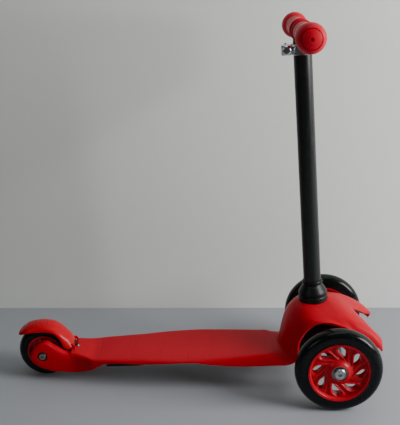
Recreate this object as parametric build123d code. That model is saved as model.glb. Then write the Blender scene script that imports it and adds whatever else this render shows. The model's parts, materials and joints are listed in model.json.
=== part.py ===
from build123d import *
import os
from math import sin, cos, tan, radians, degrees, hypot, atan2, sqrt

os.makedirs("parts", exist_ok=True)

# Three-wheeled child's kick scooter. Everything is drawn with X forward from the front axle line,
# Y to the rider's left and Z up from the ground, in millimetres. save() moves it onto the origin.

# --- overall ---
front_axle_to_origin = 199.5    # front axle line ahead of the middle of the whole scooter
wheelbase = 426.0
front_wheel_r = 60.0
rear_wheel_r = 40.0
half_track = 98.2               # centre plane to the middle of a front wheel
tyre_width = 24.0
front_rim_r = 42.0
rear_rim_r = 26.0
handlebar_height = 504.0        # grip centre line above the ground, post pushed down
handlebar_half = 121.7          # centre plane to the centre of a grip's ball end
ball_r = 18.6
post_rake = 3.65                # degrees that the post leans back

# --- clearances ---
seat_gap = 0.05                 # radial, between parts that fit one in the other
run_gap = 0.3                   # between parts that move past each other
face_gap = 0.1                  # between end faces on one axle

# --- wall thicknesses ---
shell_wall = 3.5
skirt_wall = 3.0
fender_wall = 3.0

# --- wheel bearings and axles ---
bearing_r = 11.0
bearing_bore_r = 4.0 + seat_gap
bearing_width = 7.0
axle_r = 4.0
inner_ring_r = 6.0

# --- rear end ---
drawn_rear_wheel_r = 40.0       # the rear outlines are drawn for this wheel, with x from its axle
rear_scale = rear_wheel_r / drawn_rear_wheel_r


def rear_x(ahead):
    """X of a rear outline's point, from its distance ahead of the rear axle."""
    return -wheelbase + ahead * rear_scale


def rear_xz(points):
    return [(rear_x(ahead), z * rear_scale) for ahead, z in points]


cheek_inner = tyre_width / 2 + 2.5
cheek_outer = cheek_inner + 12.5
wheel_well_r = rear_wheel_r + 3.0
cheek_outline = rear_xz([(-18.6, 33), (-18.5, 42), (-14, 53), (-5.5, 61.5), (5.5, 63.5), (15.5, 58.5),
                         (24, 52.5), (31, 47)])
cheek_outline += [(rear_x(ahead), z) for ahead, z in [(41, 41), (50, 36), (93, 39), (93, 28), (87, 25),
                                                      (74, 19.5), (61, 16), (49, 14.5)]]
cheek_outline += rear_xz([(24, 14.5), (5, 16.5), (-9, 21.5), (-15, 26)])

# --- deck ---
deck_rear_x = rear_x(42)
deck_rear_top = 39.432
deck_top_at_hump = 53.6
deck_front_x = -50.0
hump_rear_x = -77.0
deck_slope = (deck_top_at_hump - deck_rear_top) / (hump_rear_x - deck_rear_x)
# station x, half width of the top crease, half width of the lower edge, height of the lower edge
deck_stations = [
    (deck_rear_x, cheek_outer, cheek_outer + 1.0, 33.0),
    (rear_x(76), 36.6, 38.5, 33.8),
    (rear_x(114), 39.4, 42.0, 37.4),
    (rear_x(147), 42.6, 46.0, 37.6),
    (rear_x(177), 47.4, 50.0, 40.6),
    (-204, 49.9, 53.0, 44.6),
    (-175, 48.4, 52.2, 40.5),
    (-138, 44.9, 51.0, 37.6),
    (-94, 39.4, 49.4, 38.3),
    (deck_front_x, 37.0, 51.0, 46.0),
]

# --- front hump ---
hump_r = 94.0                   # cross section, a circle about the line y = 0, z = hump_axis_z
hump_axis_z = 30.0
hump_crown_z = hump_axis_z + hump_r
arch_r = 50.0                   # round openings over the axle ends
hump_back = [(-77, 46), (-76, 58), (-73, 75), (-70, 90), (-66, 100), (-58, 112), (-50, 119),
             (-41, 123.2)]
hump_front = [(-2, 124), (10, 120.5), (22, 113.5), (35, 104), (45, 95.6), (56, 86.8), (64, 78.5),
              (67.5, 69)]
hump_plan_back = [(-53, 50), (-61, 38), (-73, 22), (-77.5, 0)]
notch_edge = [(67, 54), (66, 43), (64, 34), (56, 22.4), (45, 14), (35, 0)]
fender_tip_y = 57.7
fender_under = (48, 80)

# --- lean-to-steer pivot ---
lean_angle = 50.0               # kingpin axis above the horizontal, front end higher
kingpin_r = 4.0
kingpin_bush_r = 7.0
beam_boss_r = 12.0
beam_boss_half = 14.0           # along the kingpin
lug_thickness = 6.0
lean_limit = 12.0
arm_half_depth = 8.0            # across the kingpin axis
arm_half_height = 10.0          # along the kingpin axis
spring_y = 30.0
spring_r = 5.0
spring_wire_r = 0.8
spring_seat_z = 74.0
wing_z = 90.0
wing_thickness = 4.0

# --- post ---
lower_tube_r = 12.5
lower_tube_bore_r = lower_tube_r - 1.2
upper_tube_r = 9.5
upper_tube_bore_r = 8.0
crossbar_r = 9.0
post_foot_z = 76.0
clamp_top_z = handlebar_height - 14.0
clamp_height = 15.0
clamp_ring_r = lower_tube_r + 3.1
height_travel = 150.0
post_overlap = 60.0             # upper tube left inside the lower one at full height
column_r = lower_tube_r + 4.5
collar_r = lower_tube_r + 8.5

# --- brake ---
hinge_x = rear_x(43)
hinge_z = 50.6 * rear_scale
hinge_pin_r = 1.6
knuckle_r = 3.4
ear_r = 4.0
brake_half_width = cheek_inner + 4.1
bracket_half = brake_half_width - fender_wall - 0.8
ear_y = (bracket_half - 3.1, bracket_half)
knuckle_y = (ear_y[0] - run_gap - 2.8, ear_y[0] - run_gap)
bracket_x = (rear_x(43.6), rear_x(56))
bracket_top = 44.6 * rear_scale
bracket_seat_z = deck_rear_top - 1.0    # floor of the pocket let into the standing face
brake_screw_x = bracket_x[0] + 4.0
wear_plate = 1.2
brake_top = rear_xz([(-38.5, 69.5), (-33.6, 75.2), (-20.3, 84.1), (-7.5, 87.6), (5.1, 87.7), (17.3, 84.1),
                     (29.3, 75.9), (41.1, 64.4), (45.6, 54.5)])
brake_skirt = rear_xz([(40, 51.0), (34, 52), (31, 56), (26, 63.8), (19, 71.4), (8, 73.6), (-10, 73.0),
                       (-25.5, 71.6)])

# --- underplate ---
plate_half = 28.0
plate_wall = 2.5
plate_bottom = [(rear_x(95), 25.0), (rear_x(141), 26.5), (rear_x(186), 33.5), (-148.0, 35.5)]
plate_screws = [(x, y) for x in (rear_x(108), -165.0) for y in (-18.0, 18.0)]
chassis_screw_places = [(x, y) for x in (-130.0, -92.0) for y in (-19.0, 19.0)]
screw_r = 1.6
screw_head_r = 3.6
post_r = 4.5

# --- chassis ---
chassis_plate_z = (38.5, 44.5)
chassis_half = 26.0
chassis_rear_x = -140.0


# ---------------------------------------------------------------- helpers

def save(name, *solids):
    """Move the node's solids onto the scooter's origin and write its STEP file."""
    placed = [Pos(front_axle_to_origin, 0, 0) * s for s in solids]
    shape = placed[0] if len(placed) == 1 else Compound(children=placed)
    export_step(shape, f"parts/{name}.step")


def turned(points):
    """A solid of revolution about Z from a closed outline of (radius, z) points."""
    return revolve(make_face(Plane.XZ * Polyline(*points, close=True)), Axis.Z)


def ring(r_out, r_in, z0, z1):
    """A plain ring or rod about Z."""
    body = Pos(0, 0, (z0 + z1) / 2) * Cylinder(r_out, z1 - z0)
    if r_in > 0:
        body -= Pos(0, 0, (z0 + z1) / 2) * Cylinder(r_in, z1 - z0 + 2)
    return body


def along_y(x, z, side=1):
    """A place whose Z axis runs along Y, outwards to the left (side 1) or right (side -1)."""
    return Plane(origin=(x, 0, z), x_dir=(1, 0, 0), z_dir=(0, side, 0)).location


def box_between(x, y, z):
    """A box given by its (low, high) pairs."""
    size = [b - a for a, b in (x, y, z)]
    mid = [(a + b) / 2 for a, b in (x, y, z)]
    return Pos(*mid) * Box(*size)


def side_prism(face_edges, half_width):
    """An outline in the XZ plane, carried to both sides of the centre plane."""
    return extrude(make_face(face_edges), half_width, both=True)


def at_xz(points):
    return [(x, 0, z) for x, z in points]


def inset(points, depth):
    """Move each point of an open curve along its normal, to the right of its direction."""
    moved = []
    for i, (x, z) in enumerate(points):
        ax, az = points[max(i - 1, 0)]
        bx, bz = points[min(i + 1, len(points) - 1)]
        run = hypot(bx - ax, bz - az)
        moved.append((x + depth * (bz - az) / run, z - depth * (bx - ax) / run))
    return moved


def hex_prism(across_flats_r, height):
    return extrude(RegularPolygon(across_flats_r, 6, major_radius=False), height)


def coil(radius, wire_r, height, turns):
    """A closed-end helical spring about Z, from z = 0 to height."""
    free = height - 2 * wire_r
    path = Helix(pitch=free / turns, height=free, radius=radius)
    start = Plane(origin=path @ 0, z_dir=path % 0)
    return Pos(0, 0, wire_r) * sweep(start * Circle(wire_r), path, is_frenet=True)


def deck_top(x):
    return deck_top_at_hump + deck_slope * (x - hump_rear_x)


# the post frame: origin on the crown of the hump, Z along the post
post_x_at_crown = -26.5
post = Location((post_x_at_crown, 0, hump_crown_z), (0, -post_rake, 0))
post_scale = 1 / cos(radians(post_rake))


def post_z(z):
    """Distance along the post axis of the point at ground height z."""
    return (z - hump_crown_z) * post_scale


# the lean frame: origin on the front axle line, Z along the kingpin, Y to the left
lean_x = (sin(radians(lean_angle)), 0, -cos(radians(lean_angle)))
lean_z = (cos(radians(lean_angle)), 0, sin(radians(lean_angle)))
lean = Plane(origin=(0, 0, front_wheel_r), x_dir=lean_x, z_dir=lean_z).location


# ---------------------------------------------------------------- deck moulding

def deck_body(side_wall, top_wall, drop):
    """Loft of the deck's cross sections, shrunk by the given walls and carried down by drop."""
    sections = []
    for x, crease, edge, z in deck_stations:
        half = [(edge - side_wall, z - drop), (edge - side_wall, z + 1.2 - side_wall * 0.3),
                (crease - side_wall, deck_top(x) - top_wall)]
        if not top_wall:
            half.append((crease, deck_top(x) + 3.0))
        other = [(-y, h) for y, h in reversed(half)]
        sections.append(make_face(Polyline(*[(x, y, h) for y, h in half + other], close=True)))
    return loft(sections)


def above_deck():
    """Everything above the standing face, a plane that rises gently forward."""
    length = 700.0
    cutter = Pos(0, 0, 50) * Box(length, 200, 100)
    tilt = -degrees(atan2(deck_slope, 1))
    return Location((hump_rear_x, 0, deck_top_at_hump), (0, tilt, 0)) * cutter


def hump_solid(wall):
    """The front body: a side outline, a round cross section and a plan outline intersected."""
    if wall:
        back, front = inset(hump_back, wall), inset(hump_front, wall)
        front = front[:-1] + [(front[-1][0] + 1, front[-1][1] - 3)]
    else:
        back, front = hump_back, hump_front
    outline = [Spline(*at_xz(back)), Line((back[-1][0], 0, back[-1][1]), (front[0][0], 0, front[0][1])),
               Spline(*at_xz(front))]
    nose, heel = front[-1], back[0]
    if wall:
        low = heel[1] - 20
        closing = [nose, (nose[0], low), (heel[0], low), heel]
    else:
        closing = [nose, fender_under, (30, heel[1]), heel]
    side = side_prism(Curve() + outline + [Polyline(*at_xz(closing))], 80)
    tube = Location((0, 0, hump_axis_z), (0, 90, 0)) * Cylinder(hump_r - wall, 400)
    return side & tube & extrude(make_face(Curve() + hump_plan(wall)), 160)


def hump_plan(wall):
    """Plan outline of the hump; the inner one stays open towards the front."""
    left = [(x + wall, y - wall * (y > 0)) for x, y in hump_plan_back]
    right = [(x, -y) for x, y in reversed(left[:-1])]
    edges = [Spline(*left, *right)]
    waist = [left[0], (0, 56.2 - wall), (40, fender_tip_y + 0.2 - wall), (64, fender_tip_y - wall)]
    edges += [Spline(*waist), Spline(*[(x, -y) for x, y in waist])]
    if wall:
        nose = 90
        edges.append(Polyline(waist[-1], (nose, waist[-1][1]), (nose, -waist[-1][1]),
                              (waist[-1][0], -waist[-1][1])))
        return edges
    edges += [Line(waist[-1], notch_edge[0]), Line((64, -fender_tip_y), (67, -54))]
    edges += [Spline(*notch_edge), Spline(*[(x, -y) for x, y in notch_edge])]
    return edges


def rear_fork():
    """Solid cheeks each side of the rear wheel, joined by a block ahead of the wheel."""
    body = side_prism(Polyline(*at_xz(cheek_outline), close=True), cheek_outer)
    well = along_y(-wheelbase, rear_wheel_r) * ring(wheel_well_r, 0, -cheek_inner, cheek_inner)
    slot = box_between((rear_x(-54), -wheelbase), (-cheek_inner, cheek_inner), (0, 120))
    over = box_between((rear_x(-54), rear_x(40)), (-cheek_inner, cheek_inner), (rear_wheel_r, 120))
    hollow = box_between((rear_x(52), rear_x(96)), (-cheek_outer + shell_wall, cheek_outer - shell_wall),
                         (0, deck_rear_top - shell_wall))
    body = body - well - slot - over - hollow
    for side in (-1, 1):
        hole = ring(axle_r + seat_gap, 0, cheek_inner - 1, cheek_outer + 1)
        recess = ring(7.2, 0, cheek_outer - 3.4, cheek_outer + 1)
        body -= along_y(-wheelbase, rear_wheel_r, side) * (hole + recess)
    return body


def screw_posts(places, low_of):
    posts = []
    for x, y in places:
        low = low_of(x)
        posts.append(Pos(x, y, 0) * (ring(post_r, 0, low, deck_top(x) - 1)))
    return posts


def post_low(x):
    """Underside height of the screw posts: on the underplate or on the chassis plate."""
    if x < chassis_rear_x:
        return plate_height(x) + plate_wall + face_gap
    return chassis_plate_z[1] + face_gap


def plate_height(x):
    for (x0, z0), (x1, z1) in zip(plate_bottom, plate_bottom[1:]):
        if x0 <= x <= x1:
            return z0 + (z1 - z0) * (x - x0) / (x1 - x0)
    return plate_bottom[0][1]


def deck_shell():
    outer = deck_body(0, 0, 0) - above_deck()
    body = outer - deck_body(skirt_wall, shell_wall, 40)
    body = body + hump_solid(0) + rear_fork()
    body -= hump_solid(shell_wall)
    body -= along_y(0, front_wheel_r) * ring(arch_r, 0, -90, 90)
    for rib_y in (-9.0, 9.0):
        rib = box_between((rear_x(54), -150), (rib_y - 1.2, rib_y + 1.2), (38.5, 60))
        body += rib & outer
    places = plate_screws + chassis_screw_places
    for boss in screw_posts(places, post_low):
        body += boss
    for x, y in places:
        body -= Pos(x, y, 0) * ring(screw_r + seat_gap, 0, 10, deck_top(x) - 3)
    body -= post * ring(lower_tube_r + 0.6, 0, -30, 30)
    body -= bracket_pocket()
    body -= Pos(brake_screw_x, 0, 0) * ring(screw_r + seat_gap, 0, 20, 60)
    return body


def bracket_pocket():
    """Shallow seat for the brake bracket, open towards the wheel."""
    return box_between((deck_rear_x - 2, bracket_x[1] + run_gap),
                       (-bracket_half - run_gap, bracket_half + run_gap), (bracket_seat_z, 60 * rear_scale))


# ---------------------------------------------------------------- under the deck

def underplate():
    top = [(x, deck_top(x) - shell_wall - 0.3) for x in (plate_bottom[-1][0], plate_bottom[0][0])]
    tray = side_prism(Polyline(*at_xz(plate_bottom + top), close=True), plate_half)
    floor = [(x - 5 * (i == 0) + 5 * (i == len(plate_bottom) - 1), z + plate_wall)
             for i, (x, z) in enumerate(plate_bottom)]
    inside = Polyline(*at_xz(floor + [(x, 80) for x in (floor[-1][0], floor[0][0])]), close=True)
    tray -= side_prism(inside, plate_half - plate_wall)
    for x, y in plate_screws:
        tray -= Pos(x, y, 0) * ring(screw_r + 0.3, 0, 10, 60)
    return tray


def pan_screw(length):
    """Screw with its head's seat at z = 0, head below and shank above."""
    head = turned([(0, -2.4), (screw_head_r * 0.6, -2.4), (screw_head_r, -1.2), (screw_head_r, 0), (0, 0)])
    return head + ring(screw_r, 0, 0, length)


def front_chassis():
    """Black inner frame: post socket, pivot lugs, spring wings and the plate under the deck."""
    low, high = chassis_plate_z
    base = [(-14, 37), (chassis_rear_x, low), (chassis_rear_x, high), (-56, high), (-46, 78), (-24, 78),
            (-26, 56), (-14, 46)]
    body = side_prism(Polyline(*at_xz(base), close=True), 15)
    body += box_between((chassis_rear_x, -58), (-chassis_half, chassis_half), (low, high))
    body += post * ring(column_r, 0, post_z(70), post_z(hump_crown_z - shell_wall) - 2.6)
    wall_in, wall_out = beam_boss_r + 1, beam_boss_r + 8
    reach = beam_boss_half + run_gap
    block = box_between((-wall_out, 11), (-15, 15), (-reach - lug_thickness, reach + lug_thickness))
    gap = box_between((-wall_in, 20), (-20, 20), (-reach, reach))
    body += lean * block
    body += box_between((-30, 12), (-38, 38), (wing_z, wing_z + wing_thickness))
    for side in (-1, 1):
        rib = box_between((-26, -22), (side * 26 - 12, side * 26 + 12), (wing_z - 6, wing_z))
        body += rib
    body -= lean * (gap + ring(beam_boss_r + 0.8, 0, -reach, reach))
    body -= lean * (ring(kingpin_r + seat_gap, 0, -40, 40) + ring(8.2, 0, -50, -reach - lug_thickness))
    body -= post * ring(lower_tube_r + seat_gap, 0, post_z(post_foot_z) - face_gap, 80)
    body -= post_screw_place * ring(3.0 + seat_gap, 0, -40, 40)
    for x, y in chassis_screw_places:
        body -= Pos(x, y, 0) * ring(screw_r + 0.3, 0, 10, 60)
    return body


post_screw_z = 104.0
post_screw_x = post_x_at_crown + (hump_crown_z - post_screw_z) * tan(radians(post_rake))
post_screw_place = Location((post_screw_x, 0, post_screw_z), (90, 0, 0))


# ---------------------------------------------------------------- front axle

def axle_beam():
    """Beam that swings about the kingpin, with a round end for each wheel."""
    body = ring(beam_boss_r, 0, -beam_boss_half, beam_boss_half)
    end_y = half_track - tyre_width / 2 - face_gap
    for side in (-1, 1):
        root = Plane(origin=(0, 0, 0), x_dir=(1, 0, 0), z_dir=(0, side, 0))
        outer = Plane(origin=(0, side * 72, 0), x_dir=(1, 0, 0), z_dir=(0, side, 0))
        faces = [root * Rectangle(2 * arm_half_depth, 2 * arm_half_height),
                 outer * Rectangle(13, 15)]
        body += loft(faces)
        knob = turned([(0, 66), (9.5, 66), (9.5, end_y - 4), (inner_ring_r, end_y - 1.5),
                       (inner_ring_r, end_y), (0, end_y)])
        body += Location((0, 0, 0), (-90 * side, 0, 0)) * knob
    body -= ring(kingpin_bush_r + seat_gap, 0, -40, 40)
    body = lean * body
    for side in (-1, 1):
        body += Pos(0, side * spring_y, 0) * ring(spring_r + 2, 0, 62, spring_seat_z)
        body -= along_y(0, front_wheel_r, side) * ring(axle_r + seat_gap, 0, 58, 120)
    return body


def kingpin_bushes():
    bushes = []
    for side in (-1, 1):
        flange = turned([(kingpin_r + seat_gap, 0.5), (kingpin_bush_r, 0.5),
                         (kingpin_bush_r, beam_boss_half), (kingpin_r + seat_gap, beam_boss_half)])
        bushes.append(lean * (Rot(0, 90 - 90 * side, 0) * flange))
    return bushes


def kingpin_bolt():
    seat = beam_boss_half + run_gap + lug_thickness + face_gap
    head = Pos(0, 0, seat) * hex_prism(6.5, 5.0)
    return lean * (head + ring(kingpin_r, 0, -seat - 8, seat + 1))


def kingpin_nut():
    seat = beam_boss_half + run_gap + lug_thickness + face_gap
    nut = Pos(0, 0, -seat - 6.5) * hex_prism(6.5, 6.5)
    return lean * (nut - ring(kingpin_r + seat_gap, 0, -seat - 9, -seat + 1))


def steering_spring(side):
    height = wing_z - spring_seat_z - 2 * face_gap
    return Pos(0, side * spring_y, spring_seat_z + face_gap) * coil(spring_r, spring_wire_r, height, 4.5)


# ---------------------------------------------------------------- wheels, drawn about Z

def tyre(wheel_r, rim_r):
    """Solid tyre with a round crown."""
    half = tyre_width / 2
    shoulder = wheel_r - 9.5
    sides = Polyline((shoulder, 0, half), (rim_r + seat_gap, 0, half), (rim_r + seat_gap, 0, -half),
                     (shoulder, 0, -half))
    crown = ThreePointArc((shoulder, 0, -half), (wheel_r, 0, 0), (shoulder, 0, half))
    return revolve(make_face(Curve() + [sides, crown]), Axis.Z)


def hub_core(boss_r, rim_r, rim_wall, web):
    """Rim ring, web and bearing boss as one moulding; Z points outwards."""
    half = tyre_width / 2
    seat = half - bearing_width
    core = turned([(bearing_r - 2, -seat), (bearing_r - 2, seat), (bearing_r + seat_gap, seat),
                   (bearing_r + seat_gap, half), (boss_r, half), (boss_r, web[1]),
                   (rim_r - rim_wall, web[1]), (rim_r - rim_wall, half - 0.6), (rim_r, half - 0.6),
                   (rim_r, 0.6 - half), (rim_r - rim_wall, 0.6 - half), (rim_r - rim_wall, web[0]),
                   (boss_r, web[0]), (boss_r, -half), (bearing_r + seat_gap, -half),
                   (bearing_r + seat_gap, -seat)])
    return core


def leaf_window(r_in, r_out, sweep_deg, width_in, width_out):
    """A swirled leaf between two radii, bounded by two arcs of different bow."""
    a = Vector(r_in, 0)
    b = Vector(r_out, 0).rotate(Axis.Z, sweep_deg)
    mid = (a + b) * 0.5
    across = (b - a).normalized().rotate(Axis.Z, 90)
    one = ThreePointArc(a, mid + across * width_out, b)
    two = ThreePointArc(b, mid - across * width_in, a)
    return make_face(Curve() + [one, two])


def front_hub():
    hub = hub_core(15.5, front_rim_r, 3.4, (-3.0, 7.0))
    windows = extrude(leaf_window(18.0, 37.0, 34.0, 0.5, 8.5), 30, both=True)
    for i in range(8):
        hub -= Rot(0, 0, 45.0 * i) * windows
    return hub


def rear_hub():
    hub = hub_core(14.5, rear_rim_r, 3.0, (-4.0, 4.0))
    for i in range(6):
        hub -= Rot(0, 0, 60.0 * i) * (Pos(18.8, 0, 0) * Cylinder(3.2, 40))
    return hub


def bearing_pair():
    """Two ball bearings, shields sunk a little below their rings."""
    pair = []
    for side in (-1, 1):
        z0 = side * (tyre_width / 2 - bearing_width / 2)
        h = bearing_width / 2
        race = turned([(bearing_bore_r, -h), (inner_ring_r, -h), (inner_ring_r, -h + 0.4), (9.2, -h + 0.4),
                       (9.2, -h), (bearing_r, -h), (bearing_r, h), (9.2, h), (9.2, h - 0.4),
                       (inner_ring_r, h - 0.4), (inner_ring_r, h), (bearing_bore_r, h)])
        pair.append(Pos(0, 0, z0) * race)
    return pair


def axle_sleeve():
    """Tube on the axle that keeps the two bearings apart."""
    half = tyre_width / 2 - bearing_width - face_gap
    return ring(inner_ring_r - 0.4, axle_r + seat_gap, -half, half)


def front_axle_bolt():
    """Shouldered bolt, head outwards; z = 0 is the wheel's middle plane."""
    face = tyre_width / 2 + face_gap
    head = turned([(0, face), (inner_ring_r - 0.3, face), (inner_ring_r - 0.3, face + 0.8),
                   (8.0, face + 0.8),
                   (8.0, face + 2.6), (6.8, face + 4.2), (0, face + 4.2)])
    head -= Pos(0, 0, face + 2.0) * hex_prism(2.5, 5)
    return head + ring(axle_r, 0, 60 - half_track, face + 1)


# ---------------------------------------------------------------- rear axle

def rear_axle_bolt():
    seat = cheek_outer - 3.4
    head = turned([(0, seat), (5.8, seat), (5.8, seat + 3.0), (4.9, seat + 4.0), (0, seat + 4.0)])
    head -= Pos(0, 0, seat + 2) * hex_prism(2.0, 4)
    return along_y(-wheelbase, rear_wheel_r, -1) * (head + ring(axle_r, 0, -seat - 4.6, seat + 1))


def rear_axle_nut():
    seat = cheek_outer - 3.4 + face_gap
    nut = Pos(0, 0, seat) * hex_prism(5.9, 4.2)
    return along_y(-wheelbase, rear_wheel_r) * (nut - ring(axle_r + seat_gap, 0, 10, 40))


def rear_side_spacers():
    inner = tyre_width / 2 + face_gap
    spacer = ring(inner_ring_r - 0.2, axle_r + seat_gap, inner, cheek_inner - face_gap)
    return [along_y(-wheelbase, rear_wheel_r, side) * spacer for side in (-1, 1)]


# ---------------------------------------------------------------- brake

def towards_axle(points, depth):
    """Move points straight towards the rear axle."""
    moved = []
    for x, z in points:
        dx, dz = -wheelbase - x, rear_wheel_r - z
        reach = hypot(dx, dz)
        moved.append((x + depth * dx / reach, z + depth * dz / reach))
    return moved


def brake_fender():
    top = Spline(*at_xz(brake_top))
    skirt = Polyline(*at_xz([brake_top[-1]] + brake_skirt + [brake_top[0]]))
    body = side_prism(Curve() + [top, skirt], brake_half_width)
    inner_top = towards_axle(brake_top[1:-1], fender_wall)
    inner_top += [(brake_top[-1][0] - fender_wall, brake_top[-1][1])]
    first, last = inner_top[0], inner_top[-1]
    low = Polyline((last[0], 0, last[1]), (last[0], 0, 20), (first[0] - 12, 0, 20),
                   (first[0] - 12, 0, first[1] - 14), (first[0], 0, first[1]))
    body -= side_prism(Curve() + [Spline(*at_xz(inner_top)), low], brake_half_width - fender_wall)
    tail_x, tail_corner = rear_x(-61), 9.0
    tail_middle = rear_x(-14)
    tail = extrude(RectangleRounded(2 * (tail_middle - tail_x), 2 * brake_half_width, tail_corner),
                   120 * rear_scale)
    tail = Pos(tail_middle, 0, 0) * tail
    body &= tail + box_between((tail_middle, -300), (-30, 30), (0, 120 * rear_scale))
    body -= along_y(hinge_x, hinge_z) * ring(ear_r + run_gap, 0, -bracket_half - 0.5, bracket_half + 0.5)
    for side in (-1, 1):
        knuckle = ring(knuckle_r, 0, *knuckle_y)
        body += along_y(hinge_x, hinge_z, side) * knuckle
        web = box_between((hinge_x - 2.4, hinge_x + 1.2), knuckle_y, (hinge_z, hinge_z + 10.9))
        body += web if side == 1 else mirror(web, about=Plane.XZ)
    for side in (-1, 1):
        hole = ring(hinge_pin_r + seat_gap, 0, 5, brake_half_width - 0.6)
        body -= along_y(hinge_x, hinge_z, side) * hole
    return body


def brake_wear_plate():
    """Steel strip under the fender that rubs on the tyre."""
    arc = brake_top[2:6]
    upper = inset_spline(arc, fender_wall + run_gap)
    lower = inset_spline(arc, fender_wall + run_gap + wear_plate)
    ends = [Line(upper @ 0, lower @ 0), Line(upper @ 1, lower @ 1)]
    return side_prism(Curve() + [upper, lower] + ends, tyre_width / 2 - 1)


def inset_spline(points, depth):
    return Spline(*at_xz(towards_axle(points, depth)))


def brake_bracket():
    """Screwed to the deck ahead of the wheel; two ears carry the hinge pin."""
    base = box_between(bracket_x, (-bracket_half, bracket_half), (bracket_seat_z + face_gap, bracket_top))
    for side in (-1, 1):
        base += along_y(hinge_x, hinge_z, side) * ring(ear_r, 0, *ear_y)
        y0, y1 = sorted((side * ear_y[0], side * ear_y[1]))
        base += box_between((hinge_x - 1, hinge_x + 4), (y0, y1), (bracket_top - 2, hinge_z))
    base -= along_y(hinge_x, hinge_z) * ring(hinge_pin_r + seat_gap, 0, -20, 20)
    base -= Pos(brake_screw_x, 0, 0) * ring(screw_r + 0.3, 0, 30, 60)
    return base


def brake_screw():
    seat = bracket_top + face_gap
    dome = Pos(0, 0, seat) * (Sphere(4.2) & box_between((-9, 9), (-9, 9), (0, 9)))
    dome -= Pos(0, 0, seat + 2.4) * hex_prism(1.5, 4)
    return Pos(brake_screw_x, 0, 0) * (dome + ring(screw_r, 0, 28, seat + 1))


def brake_hinge_pin():
    return along_y(hinge_x, hinge_z) * ring(hinge_pin_r, 0, 0.2 - bracket_half, bracket_half - 0.2)


def brake_spring():
    wire = 0.55
    width = 3.6
    turns = coil(hinge_pin_r + wire + 0.4, wire, width, 3)
    return Pos(hinge_x, knuckle_y[0] - 0.4, hinge_z) * Rot(90, 0, 0) * turns


# ---------------------------------------------------------------- post and handlebar, along Z

def stem_collar():
    top = 6.0
    neck_r = lower_tube_r + 0.9
    outline = [(lower_tube_r + seat_gap, -12), (collar_r, -12), (collar_r, top), (collar_r - 1.4, top + 1),
               (collar_r - 1.4, top + 2.4), (collar_r - 0.2, top + 3.4), (collar_r - 0.5, top + 6),
               (neck_r, 23), (neck_r + 1, 24.4), (neck_r + 1, 27), (neck_r + 0.2, 28.5),
               (lower_tube_r + seat_gap, 28.5)]
    return post * turned(outline) - hump_solid(0)


def lower_tube():
    body = ring(lower_tube_r, lower_tube_bore_r, post_z(post_foot_z), post_z(clamp_top_z) - 1.5)
    body -= Pos(-lower_tube_r, 0, post_z(clamp_top_z) - 15) * Box(8, 1.6, 30)
    body = post * body
    return body - post_screw_place * ring(3.0 + seat_gap, 0, -30, 30)


def post_screw():
    """Cross bolt that holds the post in its socket."""
    body = ring(3.0, 0, -column_r - 1, column_r + 1)
    body += Pos(0, 0, column_r + 1) * hex_prism(5, 3.5)
    return post_screw_place * body


def post_screw_nut():
    nut = Pos(0, 0, -column_r - 5) * (hex_prism(5, 4.0))
    return post_screw_place * (nut - ring(3.0 + seat_gap, 0, -column_r - 8, -column_r + 2))


def post_bushing():
    """Plastic liner in the mouth of the lower tube; the upper tube slides in it."""
    top = post_z(clamp_top_z)
    return post * turned([(upper_tube_r + seat_gap, top - 42), (lower_tube_bore_r - seat_gap, top - 42),
                          (lower_tube_bore_r - seat_gap, top - 1.4), (lower_tube_r, top - 1.4),
                          (lower_tube_r, top), (upper_tube_r + seat_gap, top)])


def upper_tube():
    foot = post_z(clamp_top_z) - height_travel - post_overlap
    top = post_z(handlebar_height)
    body = ring(upper_tube_r, upper_tube_bore_r, foot, top - 4)
    body -= Location((0, 0, top), (90, 0, 0)) * Cylinder(crossbar_r + face_gap, 60)
    return post * body


def foot_plug():
    """Plastic foot of the upper tube that runs in the lower tube's bore."""
    foot = post_z(clamp_top_z) - height_travel - post_overlap
    running_r = lower_tube_bore_r - seat_gap
    return post * turned([(0, foot - 4), (running_r, foot - 4), (running_r, foot - face_gap),
                          (upper_tube_bore_r - seat_gap, foot - face_gap),
                          (upper_tube_bore_r - seat_gap, foot + 12), (0, foot + 12)])


def crossbar():
    top = post_z(handlebar_height)
    bar = ring(crossbar_r, crossbar_r - 1.6, 4 - handlebar_half, handlebar_half - 4)
    return post * (Location((0, 0, top), (90, 0, 0)) * bar)


tee_half = 15.0


def tee_socket():
    """Moulded joint that ties the upper tube to the crossbar."""
    top = post_z(handlebar_height)
    body = Location((0, 0, top), (90, 0, 0)) * ring(crossbar_r + 3.6, 0, -tee_half, tee_half)
    body += ring(lower_tube_r - 0.1, 0, post_z(clamp_top_z) + run_gap, top)
    body -= ring(upper_tube_r + seat_gap, 0, post_z(clamp_top_z) - 5, top - 4 + face_gap)
    body -= Location((0, 0, top), (90, 0, 0)) * ring(crossbar_r + seat_gap, 0, -40, 40)
    return post * body


def grip():
    """Rubber grip with a round ball end; z = 0 is the centre plane of the scooter."""
    neck = crossbar_r + 4.0
    start = tee_half + run_gap
    ball = Sphere(ball_r)
    body = ring(neck, 0, start, handlebar_half) + Pos(0, 0, handlebar_half) * ball
    body += ring(15.5, 0, start, start + 3)
    for z in (28.0, 40.0, 52.0, 64.0, 76.0, 88.0):
        body -= ring(neck + 3, neck - 0.8, z, z + 2.2)
    flat = handlebar_half + ball_r - 1.6
    body -= ring(30, 0, flat, flat + 10)
    body -= ring(crossbar_r + seat_gap, 0, 0, handlebar_half - 4 + face_gap)
    body -= ring(2.2, 0, flat - 6, flat + 1)
    return body


def grip_rings(side):
    """Pale rings let into the grip's grooves."""
    place = handle_place(side)
    return [place * ring(crossbar_r + 4.2, crossbar_r + 3.3, z, z + 2.0) for z in (28.1, 52.1, 76.1)]


def handle_place(side):
    return post * Location((0, 0, post_z(handlebar_height)), (-90 * side, 0, 0))


# ---------------------------------------------------------------- height clamp, in the post frame

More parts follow.
